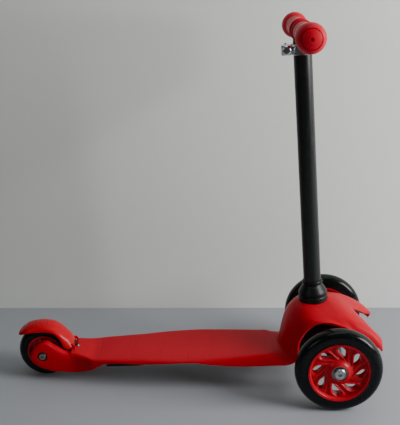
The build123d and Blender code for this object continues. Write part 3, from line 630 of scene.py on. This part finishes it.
cheek_rows = [cheek_station(*row) for row in [
    (-417, 60.4, 17.4, 26.6), (-411, 57.0, 16.6), (-405, 53.7, 16.0), (-399, 49.6, 15.7),
    (-393, 45.9, 15.4), (-387.5, 44.2, 15.2), (-384.6, 44.2, 15.1)]]
ramp_rows = [ramp_station(*row) for row in [
    (-383.6, 47.0, 26.85, 45.6, 27.1, 15.1), (-377, 46.0, 27.8, 44.8, 27.7, 15.4),
    (-370, 44.8, 29.8, 43.6, 29.5, 16.8), (-361, 43.0, 32.8, 42.0, 32.2, 19.6)]]
deck_rows = [deck_station(*row) for row in [
    (-350, 36.0, 35.2, 23.8),
    (-333, 38.0, 38.4, 33.3), (-312, 39.6, 42.2, 37.4), (-279, 42.8, 46.0, 38.0), (-249, 47.2, 50.0, 40.6),
    (-204, 49.9, 53.0, 44.0), (-175, 48.6, 52.2, 40.8), (-138, 44.9, 51.0, 37.8), (-108, 41.0, 49.8, 37.6),
    (-93, 39.6, 49.4, 38.2)]]

# %% Stations of the front body
body_rows = [
    [(-87, 0, 53.2), (-87, 14, 53.2), (-86.5, 28, 53.1), (-85, 38.6, 52.1), (-82, 45, 46.5),
     (-78, 49.8, 38.8)],
    [(-80.2, 0, 53.5), (-79.7, 12, 53.5), (-77.5, 24, 53.4), (-69.4, 36.6, 52.3), (-67.5, 43.5, 47),
     (-66, 50.3, 41)],
    [(-78, 0, 54.6), (-77.5, 12, 54.6), (-75.3, 23, 54.6), (-64.9, 36.5, 53.8), (-61, 44.5, 49.5),
     (-57.5, 51, 44.5)],
    [(-76.7, 0, 58), (-76.1, 12, 58), (-73.4, 22.8, 58.1), (-62.9, 37, 58.4), (-57, 45.5, 56),
     (-53, 51.8, 52)],
    [(-74.8, 0, 66), (-74.1, 12, 66), (-71.3, 22.8, 66.3), (-61.2, 37.3, 67), (-55.8, 46, 66),
     (-52.2, 52, 62)],
    [(-72.7, 0, 77), (-72, 12, 77), (-69.2, 22.6, 77.4), (-59.2, 37.6, 79), (-54.2, 46.3, 78.5),
     (-51.2, 52.2, 76)],
    [(-69.8, 0, 90), (-69, 12, 90), (-66.2, 22.4, 90.6), (-56.2, 37.6, 93), (-50, 46.6, 92.5),
     (-43, 52.6, 91)],
    [(-66.4, 0, 100), (-65.6, 11.8, 100), (-62.7, 22, 100.6), (-52.4, 37.3, 103), (-42.5, 47, 103.5),
     (-31, 53, 102.4)],
    [(-61, 0, 109.5), (-60, 11.5, 109.3), (-56.8, 21.8, 109.2), (-46, 37, 110), (-34, 48.2, 108.6),
     (-19, 53.4, 107.6)],
    [(-53.5, 0, 117.5), (-52.5, 11.5, 117.2), (-48.5, 22, 116.5), (-37, 37.5, 114.6), (-24.5, 48, 110.6),
     (-8, 53.8, 107.9)],
    [(-42, 0, 122.6), (-41, 11.5, 122.1), (-37.5, 22.5, 120.6), (-26, 38, 116.1), (-14, 48.4, 110.9),
     (2, 54.4, 106.2)],
    [(-28, 0, 124), (-27, 11.5, 123.3), (-25, 23, 121.3), (-14.5, 38.5, 116), (-3.5, 49, 110.4),
     (12, 55, 102.5)],
    [(-14, 0, 124), (-13.5, 11.5, 123.3), (-11.5, 23.2, 121.3), (-3, 39, 116), (8, 50, 109.6),
     (21, 55.6, 98)],
    [(-2, 0, 123.6), (-1.5, 11.5, 123), (0.5, 23.4, 121), (8, 39.5, 115.4), (18.5, 51, 107),
     (30, 56.2, 92.2)],
    [(10, 0, 120.3), (10.5, 11.5, 119.8), (12.5, 23.6, 118.2), (19.3, 40, 112.6), (28.8, 52.4, 104.6),
     (37.6, 56.8, 86.8)],
    [(22, 0, 113.8), (23, 11.5, 113.2), (25.3, 24, 112), (32, 41, 107), (39.2, 53.4, 99.6),
     (45.2, 57.2, 81.4)],
    [(30, 0, 108), (32, 11.5, 107), (36, 24.3, 105.8), (42.6, 42, 101), (48, 54, 94.6), (52, 57.5, 76.8)],
    [(31.6, 0, 105.6), (37, 11.8, 102.8), (43.6, 25, 100.4), (50.2, 42.6, 95.6), (54.6, 54.4, 90.4),
     (57, 57.7, 73.3)],
    [(38, 10, 99.4), (43.4, 19, 96.8), (50, 29.5, 94.6), (56.2, 43.4, 90.8), (59.6, 54.6, 85.6),
     (61.2, 57.9, 70.4)],
    [(46, 19, 92.8), (50.6, 26, 91), (56, 34, 89), (61.4, 44.6, 85.4), (64, 54.6, 80.6),
     (64.6, 57.9, 68.3)],
    [(55.6, 27, 85), (59, 32, 85), (62.4, 38, 84.2), (65.4, 46, 81.2), (66.5, 54.2, 76), (66.3, 57.8, 67)],
    [(62.4, 37, 79.8), (64.8, 40.5, 80.6), (66.8, 44, 79.8), (67.3, 48.8, 77), (67.2, 54, 72),
     (67.0, 57.7, 66.6)],
    [(65.4, 47, 75), (66.4, 49, 74.6), (67.2, 50.8, 73.4), (67.3, 53, 71.6), (67.3, 55.3, 69.2),
     (67.2, 57.3, 66.6)],
]
cheek_part = np.array(cheek_rows, float)
deck_part = np.array(ramp_rows + deck_rows + body_rows, float)
print("stations", cheek_part.shape, deck_part.shape)

# %% The sheet
across_count, along_count, cheek_count = 40, 440, 50
rows = np.concatenate([through(cheek_part, cheek_count), through(deck_part, along_count)])
sheet = np.einsum("vk,skc->svc", b_spline_rows(6, across_count), rows)
left_half = from_axle(sheet)


def body_shell(name, half):
    """Both halves, joined on the centre line only where they meet, given an inward wall."""
    piece = mesh_piece(name, both_halves(half), smooth_angle=50)
    modifier(piece, "SOLIDIFY", thickness=3.2 * MM, offset=-1.0, use_even_offset=True,
             use_quality_normals=True)
    modifier(piece, "BEVEL", width=0.9 * MM, segments=2, limit_method="ANGLE", angle_limit=math.radians(50))
    return apply_modifiers(piece)


moulding = body_shell("deck_moulding", left_half)
dress(moulding, red_shell, "deck", "red_plastic", "deck_shell")
mids = moulding.data.polygons[len(moulding.data.polygons) // 8]
print("a face on the deck points", [round(c, 2) for c in mids.normal])

# %% [markdown]
# ## Fork cheeks beside the rear wheel
# Two thick plates carry the rear axle. A plate is an outline carried outwards through a few layers.
# Each layer is the outline moved inwards by its own amount, so the layers near the faces make the
# rounded edge, and the last ring on each side is closed by one flat face.

# %% Plates from an outline


def inset_outline(outline, depth):
    """Move each point of a closed outline to its left by a depth, along the averaged normal."""
    step = np.roll(outline, -1, 0) - np.roll(outline, 1, 0)
    step /= np.linalg.norm(step, axis=1)[:, None]
    return outline + depth * np.stack([-step[:, 1], step[:, 0]], 1)


def plate(name, outline, layers, dish=(), smooth_angle=40.0):
    """Closed plate: (y, inset) layers of an (x, z) outline. The first layer is closed by a flat cap.

    The last is closed the same way, or by (radius, y) rings of a round dish about the rear axle.
    """
    area = np.sum(outline[:, 0] * np.roll(outline[:, 1], -1) - np.roll(outline[:, 0], -1) * outline[:, 1])
    outline = outline if area > 0 else outline[::-1]
    n = len(outline)
    rings = []
    for y, depth in layers:
        ring = inset_outline(outline, depth)
        rings.append(np.stack([ring[:, 0], np.full(n, y), ring[:, 1]], 1))
    spoke = (outline - dish_middle) / np.linalg.norm(outline - dish_middle, axis=1)[:, None]
    for radius, y in dish:
        circle = dish_middle + radius * spoke
        rings.append(np.stack([circle[:, 0], np.full(n, y), circle[:, 1]], 1))
    points = np.concatenate(rings)
    faces = grid_faces(len(rings), n, False, True).tolist()
    faces += [list(range(n))[::-1], [(len(rings) - 1) * n + i for i in range(n)]]
    if layers[-1][0] > layers[0][0]:
        faces = [f[::-1] for f in faces]
    return mesh_from(name, from_axle(points), faces, smooth_angle)


dish_middle = np.array([(rear_axle[0] - front_axle[0]) / MM, rear_axle[2] / MM])
cheek_outline = even(through([(-444.5, 37), (-442.6, 46), (-438.2, 53), (-431.4, 59.2), (-422.6, 62.0),
                              (-416.0, 60.6), (-410.4, 56.4), (-402, 50.4), (-395.7, 46.0), (-388, 41.5),
                              (-378, 38.4), (-364, 36.0), (-352, 33), (-350, 28), (-355, 23), (-366, 19),
                              (-379, 16.6), (-400, 16.2), (-421, 18.2), (-434, 23.6), (-442, 31)], 400,
                              closed=True), 150, closed=True)
for side, word in ((1, "left"), (-1, "right")):
    layers = [(side * y, d) for y, d in ((14.5, 1.5), (15.0, 0.5), (16.5, 0), (24.0, 0), (25.6, 0.4),
                                         (26.6, 1.3), (27.0, 2.8))]
    dish = [(r, side * y) for r, y in ((7.9, 27.0), (7.3, 26.4), (7.2, 23.65), (4.1, 23.6))]
    cheek = plate(f"fork_cheek_{word}", cheek_outline, layers, dish)
    dress(cheek, red_fork, "deck", "red_plastic")

# %% [markdown]
# ## Tyres
# A cast tyre is the same profile all the way round, so it is a surface of revolution: the profile
# gives a radius and a place along the axle, and the turn angle does the rest. The sidewall has a low
# bead beside the rim, and the crown is a rounded arch. Half the profile is drawn and the other half
# is its mirror image.

# %% Turned surfaces


def turned(profile, count, place, closed_profile=True):
    """Revolve (radius, along) points: place(u, v, w) maps the wheel's own axes to the scooter."""
    angle = np.arange(count) * 2 * math.pi / count
    r, w = profile[:, 0][:, None], profile[:, 1][:, None]
    return place(r * np.cos(angle), r * np.sin(angle), w + 0 * angle), closed_profile, True


def wheel_place(axle, y, side):
    """Own axes: u forward, w outwards, v up on the right side and down on the left side."""
    def place(u, v, w):
        return np.stack([axle[0] + u * MM, y + side * w * MM + 0 * u, axle[2] - side * v * MM], -1)
    return place


def store(piece, name, values):
    """Keep one number per vertex for a material to read."""
    layer = piece.data.attributes.new(name, "FLOAT", "POINT")
    layer.data.foreach_set("value", np.asarray(values, np.float32))


def tyre_profile(outer, rim):
    """Half a section from the rim, over the bead and the sidewall, to the crown; then mirrored."""
    side = outer - 9.6
    half = np.array([(rim - 0.6, 11.2), (rim + 0.6, 11.9), (rim + 1.6, 12.0), (rim + 2.6, 11.7),
                     (side - 2.5, 11.75), (side, 11.7), (outer - 6.6, 11.0), (outer - 3.6, 9.2),
                     (outer - 1.5, 6.3), (outer - 0.35, 3.2), (outer, 0)])
    smooth = through(half, 60)
    return np.concatenate([smooth, smooth[-2::-1] * (1, -1)])


def make_tyre(name, axle, y, side, outer, rim, body, node):
    profile = tyre_profile(outer, rim)
    piece = mesh_piece(name, [turned(profile, 160, wheel_place(axle, y, side))], smooth_angle=70)
    points = np.empty(len(piece.data.vertices) * 3, np.float32)
    piece.data.vertices.foreach_get("co", points)
    points = points.reshape(-1, 3) - axle * (1, 0, 1)
    store(piece, "ring", np.hypot(points[:, 0], points[:, 2]) * 1000)
    dress(piece, tyre_black, body, "tyre", node)


make_tyre("tyre_left", front_axle, half_track, 1, 60.0, 42.0, "wheel_left", "front_tyre_left")
make_tyre("tyre_right", front_axle, -half_track, -1, 60.0, 42.0, "wheel_right", "front_tyre_right")
make_tyre("tyre_rear", rear_axle, 0.0, 1, 40.0, 26.0, "rear_wheel", "rear_tyre")

# %% [markdown]
# ## Swirled front hubs
# The hub is one red moulding: a rim ring, a boss round the bearing, and eight swirled spokes with
# leaf-shaped windows between them. Each spoke carries two ribs with a groove between. A spoke is a
# strip in (radius, share across). Its middle line is a straight tangent of a circle, and its half
# width is whatever the leaf leaves over. Its height is two bumps across. The strip is closed behind,
# so it is solid.

# %% Hub parts
spokes = 8
tangent_r = 14.5


def spoke_block(place, start, rows_n=26):
    """One solid spoke: angle = start + arccos(tangent radius / r) + share * half(r); two ribs."""
    r = np.linspace(17.2, 38.9, rows_n)
    t = ((r - 18) / 19).clip(0, 1)
    middle = start + np.arccos(tangent_r / r)
    leaf = 0.48 * np.sin(math.pi * t ** 1.35) ** 0.85
    half = math.pi / spokes * (1 - leaf)
    share = np.linspace(-1, 1, 21)
    angle = middle[:, None] + share * half[:, None]
    ribs = np.exp(-((np.abs(share) - 0.60) / 0.27) ** 4)
    fade = np.sin(math.pi * (0.05 + 0.90 * t))[:, None] ** 0.3
    face = 6.0 + 2.4 * ribs * fade
    front = np.stack([r[:, None] * np.cos(angle), r[:, None] * np.sin(angle), face], -1)
    back = front * (1, 1, 0) + (0, 0, -3.0)
    loop = np.concatenate([front, back[:, ::-1]], 1)
    loop = cap_rows(loop)
    return place(loop[..., 0], loop[..., 1], loop[..., 2])[:, ::-1], False, True


def make_hub(name, side, body, node):
    place = wheel_place(front_axle, side * half_track, side)
    rim = np.array([(42.0, -11.2), (42.0, 11.2), (41.4, 12.0), (40.6, 12.3), (39.6, 12.1), (39.0, 11.4),
                    (38.2, 9.6), (37.6, 6.5), (37.4, -2.0), (38.4, -9.6), (39.0, -11.4), (40.6, -12.2)])
    boss = np.array([(11.05, 11.8), (11.05, -11.8), (12.0, -12.4), (14.6, -12.4), (15.6, -11.6),
                     (16.2, -4.0), (20.4, -3.0), (20.6, 5.4), (19.0, 7.0), (16.6, 8.4), (14.6, 10.0),
                     (13.4, 11.4), (12.0, 12.0)])
    grids = [turned(even(through(p, 240, True), 90, True)[::-1], 128, place) for p in (rim, boss)]
    grids += [spoke_block(place, k * 2 * math.pi / spokes) for k in range(spokes)]
    piece = mesh_piece(name, grids, smooth_angle=38)
    dress(piece, red_hub, body, "red_hub", node)


make_hub("hub_left", 1, "wheel_left", "front_hub_left")
make_hub("hub_right", -1, "wheel_right", "front_hub_right")

# %% Rear axle rings of painted shade
# Painted shade: black rings round the rear bolt heads stand for the shadow in the dish round each bolt.
shade_ring_profile = np.array([(5.9, 23.7), (7.3, 23.7), (7.3, 25.5), (7.0, 25.9), (6.2, 25.9), (5.9, 25.6)])
for side, word in ((1, "left"), (-1, "right")):
    ring = turned(shade_ring_profile[::-1], 48, wheel_place(rear_axle, 0.0, side))
    dress(mesh_piece(f"axle_recess_shade_ring_{word}", [ring]), black_grain, "deck", "black_plastic")

# %% [markdown]
# ## Brake fender
# The foot brake is a glossy arched cover over the rear wheel. Like the deck it is a sheet: stations
# follow its arc from the tail to the hinge, and each section is a flat top with round shoulders and
# a short skirt. Cross ridges for the foot are small bumps pushed out of the arc near the tail.

# %% Brake sheet
arc = np.array([(-463.4, 67.8), (-464.0, 70.6), (-460.6, 74.8), (-453.9, 79.4), (-446.5, 82.8),
                (-433.5, 85.3), (-420.9, 84.8), (-409.3, 81.2), (-398.6, 74.0), (-390.8, 66.6),
                (-386.7, 62.6), (-383.6, 57.3), (-382.2, 53.6)])
skirt = np.array([(-463.0, 67.0), (-461.4, 68.2), (-457.5, 69.8), (-452.5, 71.9), (-446.0, 73.4),
                  (-434.0, 74.9), (-420.0, 75.0), (-409.0, 72.2), (-402.4, 65.6), (-398.4, 58.4),
                  (-395.8, 51.6), (-390.8, 47.6), (-386.2, 47.4)])
half_width = np.array([8.5, 11.5, 15.0, 17.2, 17.9, 18.0, 18.0, 18.0, 18.0, 18.0, 17.9, 17.6, 17.0])
brake_n = 150
cover_wall, ridge_high, shoe_depth = 2.3, 0.7, 2.35
top = through(arc, brake_n)
low = through(skirt, brake_n)
wide = through(half_width[:, None], brake_n)[:, 0]
controls = np.stack([np.stack([top[:, 0] + k * (low - top)[:, 0], share * wide,
                               top[:, 1] + k * (low - top)[:, 1]], 1) for share,
                               k in ((0.0, 0.0), (0.32, 0.0), (0.63, 0.12), (0.88, 0.34), (1.01, 0.64),
                                     (1.02, 0.86), (1.0, 1.0))], 1)
brake_sheet = np.einsum("vk,skc->svc", b_spline_rows(7, 34), controls)
ridge_x = np.arange(-451.0, -419.0, 5.2)
mid_x, mid_y = brake_sheet[..., 0], brake_sheet[..., 1]
ridge = np.exp(-(((mid_x[..., None] - ridge_x) / 1.15) ** 4)).sum(-1)
ridge *= 1 / (1 + np.exp((np.abs(mid_y) - 7.5) * 0.5))
slope = np.gradient(top, axis=0)
slope /= np.linalg.norm(slope, axis=1)[:, None]
outward = np.stack([-slope[:, 1], np.zeros(brake_n), slope[:, 0]], 1)[:, None, :]
plain_sheet = brake_sheet.copy()
brake_sheet = brake_sheet + ridge_high * ridge[..., None] * outward
brake_half = from_axle(brake_sheet)
brake = mesh_piece("brake_cover", both_halves(brake_half), smooth_angle=55)
modifier(brake, "SOLIDIFY", thickness=cover_wall * MM, offset=-1.0, use_even_offset=True,
         use_quality_normals=True)
modifier(brake, "BEVEL", width=0.7 * MM, segments=2, limit_method="ANGLE", angle_limit=math.radians(50))
brake = apply_modifiers(brake)
dress(brake, red_brake, "brake", "red_gloss", "brake_fender")

# %% [markdown]
# ## Brake shoe
# A thin steel shoe lies against the inside of the cover and rubs on the tyre. It takes the cover's
# own sheet, keeps only the rows and columns above the tread, and steps inwards by the cover's wall.

# %% Steel shoe under the cover
shoe_box = [(corner[0] - front_axle[0]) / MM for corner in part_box("brake_wear_plate")]
rows_kept = (top[:, 0] >= shoe_box[0]) & (top[:, 0] <= shoe_box[1]) & (np.arange(brake_n) > 12)
shoe = (plain_sheet - shoe_depth * outward)[rows_kept][:, :13]
shoe_half = from_axle(shoe)
shoe_piece = mesh_piece("brake_shoe", both_halves(shoe_half), smooth_angle=55)
modifier(shoe_piece, "SOLIDIFY", thickness=0.8 * MM, offset=-1.0, use_even_offset=True)
dress(apply_modifiers(shoe_piece), zinc, "brake", "steel", "brake_wear_plate")

# %% [markdown]
# ## Grips with ball ends
# Each grip is one turned profile along the handlebar: a flange by the centre joint, a slim neck with
# grooves, and a large safety ball with a raised ring and a small vent hole at its end. A turned
# surface suits it, because every section is round. The pale rings lie in three of the grooves.

# %% Grip profile


def post_place(x, y, z, origin):
    """Own axes of the post, in mm, to the scooter: z along the post, x forward across it."""
    c, s = math.cos(post_rake), math.sin(post_rake)
    return np.stack([origin[0] + (x * c - z * s) * MM, origin[1] + y * MM,
                     origin[2] + (x * s + z * c) * MM], -1)


def bar_place(side):
    def place(u, v, w):
        return post_place(u, side * w + 0 * u, -side * v, handle)
    return place


def grip_profile():
    """(radius, distance from the centre plane) from the bore, out over the grip, to the vent hole."""
    neck = [(9.05, 15.5), (13.6, 15.3), (15.2, 15.9), (15.5, 17.0), (15.2, 18.3), (13.6, 18.9)]
    ringed = (28.0, 52.0, 76.0)
    for z in (28.0, 40.0, 52.0, 64.0, 76.0, 88.0):
        deep = 12.3 if z in ringed else 12.2
        neck += [(13.0, z - 0.5), (12.9, z), (deep, z + 0.25), (deep, z + 1.95), (12.9, z + 2.2),
                 (13.0, z + 2.7)]
    neck += [(13.0, 98.0), (13.05, 103.0), (13.6, 105.6)]
    polar = np.radians(np.linspace(-42, 45, 34))
    ball = np.stack([18.6 * np.cos(polar), 121.7 + 18.6 * np.sin(polar)], 1)
    step = [(13.0, 134.9), (12.85, 134.2), (12.5, 134.0), (12.2, 134.3), (12.0, 135.2)]
    r = np.linspace(11.7, 2.4, 12)
    dome = np.stack([r, 138.6 - 2.9 * (r / 11.7) ** 2], 1)
    vent = [(1.9, 138.4), (1.7, 137.6), (1.6, 134.0), (0.0, 134.0)]
    return np.concatenate([neck, ball, step, dome, vent])


for side, word in ((1, "left"), (-1, "right")):
    piece = mesh_piece(f"rubber_grip_{word}", [turned(grip_profile(), 72, bar_place(side), False)],
                       smooth_angle=32)
    dress(piece, grip_red, "handlebar", "red_grip", f"grip_{word}")

# %% [markdown]
# ## Collar at the foot of the post
# A glossy black collar closes the gap round the post: a wide ring, a groove, a dome and a small neck.
# It is turned on the post's own axis, which leans back, so its lower edge sinks into the round front
# body and no gap shows.

# %% Collar
crown = np.array([front_axle[0] - 26.5 * MM, 0.0, 124.0 * MM])
collar = np.array([(12.6, -7.0), (20.8, -7.0), (21.0, 3.2), (20.9, 4.6), (20.4, 5.4), (19.6, 5.7),
                   (19.2, 6.1), (19.2, 7.2), (19.7, 7.7), (20.4, 8.0), (20.6, 9.0), (20.4, 10.4),
                   (19.6, 12.6), (18.0, 15.4), (16.0, 18.6), (14.5, 21.0), (13.8, 22.4), (13.7, 23.4),
                   (14.2, 23.9), (14.6, 24.8), (14.6, 26.8), (14.1, 27.9), (12.9, 28.4), (12.55, 28.0)])


def collar_place(u, v, w):
    return post_place(u, v, w + 0 * u, crown)


piece = mesh_piece("post_collar", [turned(collar[::-1], 96, collar_place, False)], smooth_angle=34)
dress(piece, black_gloss, "deck", "black_gloss", "stem_collar")

# %% [markdown]
# ## Height clamp
# A split chrome band grips the post. Two ears stand behind it, a bolt pulls them together and a cam
# lever tightens the bolt. The band is a turned ring. An ear is a rounded block, which is a formula
# too: take every direction n on a sphere, and put the point at the corner that n looks towards, plus
# a small radius times n. So the flat faces, the round edges and the corners come from one rule.

# %% Rounded blocks


def rounded_block(low, high, radius, place, rows=14, cols=24):
    """corner(sign of n) * (half size - radius) + radius * n, for directions n on a sphere."""
    low, high = np.array(low, float), np.array(high, float)
    mid, half = (low + high) / 2, (high - low) / 2
    up = (np.linspace(-1, 1, rows) * (math.pi / 2))[:, None]
    round_ = ((np.arange(cols) + 0.5) * 2 * math.pi / cols)[None, :]
    n = np.stack([np.cos(up) * np.cos(round_), np.cos(up) * np.sin(round_), np.sin(up) + 0 * round_], -1)
    side = np.where(n >= 0, 1.0, -1.0)
    side[..., 2] = np.where(np.arange(rows) < rows / 2, -1.0, 1.0)[:, None]
    p = mid + side * (half - radius) + radius * n
    return cap_rows(place(p[..., 0], p[..., 1], p[..., 2]))[::-1], False, True


def on_post(x, y, z):
    return post_place(x, y, z, crown)


low_box, high_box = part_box("clamp_collar")
clamp_mid = ((low_box[2] + high_box[2]) / 2 - crown[2]) / MM / math.cos(post_rake) - 0.4
band = np.array([(12.6, -6.4), (13.4, -6.9), (15.0, -6.9), (15.6, -6.2), (15.6, 6.2), (15.0, 6.9),
                 (13.4, 6.9), (12.6, 6.4)])
band_grid = turned((band + (0, clamp_mid))[::-1], 72, on_post)
ears = [rounded_block((-28.4, y0, clamp_mid - 6.9), (-12.5, y1, clamp_mid + 6.9), 1.3, on_post)
        for y0, y1 in ((-6.4, -1.0), (1.0, 6.4))]
dress(mesh_piece("clamp_band", [band_grid] + ears), chrome, "deck", "chrome", "clamp_collar")

# %% Clamp nut and lever
bolt_x = -21.7


def across_clamp(u, v, w):
    """Axes of the clamp bolt: w runs out to the rider's right."""
    return post_place(bolt_x + u, -w + 0 * u, clamp_mid + v, crown)


nut = np.array([(2.5, 6.5), (6.0, 6.5), (6.3, 7.0), (6.3, 9.6), (5.9, 10.6), (5.0, 11.4), (4.1, 11.7),
                (3.7, 11.6), (3.4, 11.1), (3.2, 10.2), (2.5, 10.2)])
dress(mesh_piece("clamp_barrel_nut", [turned(nut[::-1], 40, across_clamp)]), chrome, "deck", "chrome",
      "clamp_nut")


def lever_grid():
    """Bar along the post's side: a rounded section whose width and bow change along its length."""
    t = np.linspace(0, 1, 30)[:, None]
    a = ((np.arange(28) + 0.5) * 2 * math.pi / 28)[None, :]
    tall = 5.9 - 1.2 * np.sin(math.pi * t) + 0.2 * t
    thick = 1.35 + 0.9 * t ** 6
    end = np.sqrt(np.clip(1 - ((t - 0.5) * 2) ** 16, 0.0025, 1))
    square = lambda c: np.sign(c) * np.abs(c) ** 0.55
    x = bolt_x + 0.6 + 41.4 * t + 0 * a
    y = 18.1 + 0.6 * t - 0.9 * np.sin(math.pi * t) + thick * end * square(np.cos(a))
    z = clamp_mid + tall * end * square(np.sin(a))
    return cap_rows(on_post(x, y, z))[::-1], False, True


def cam_place(u, v, w):
    return post_place(bolt_x + u, 12.4 + v, clamp_mid + w + 0 * u, crown)


cams = []
for low_z in (-6.0, 3.0):
    cam = np.array([(1.55, 0.3), (5.2, 0.0), (5.6, 0.4), (5.6, 2.6), (5.2, 3.0), (1.55, 2.7)]) + (0, low_z)
    cams.append(turned(cam[::-1], 40, cam_place))
dress(mesh_piece("clamp_handle", [lever_grid()] + cams), chrome, "clamp_lever", "chrome", "clamp_lever")
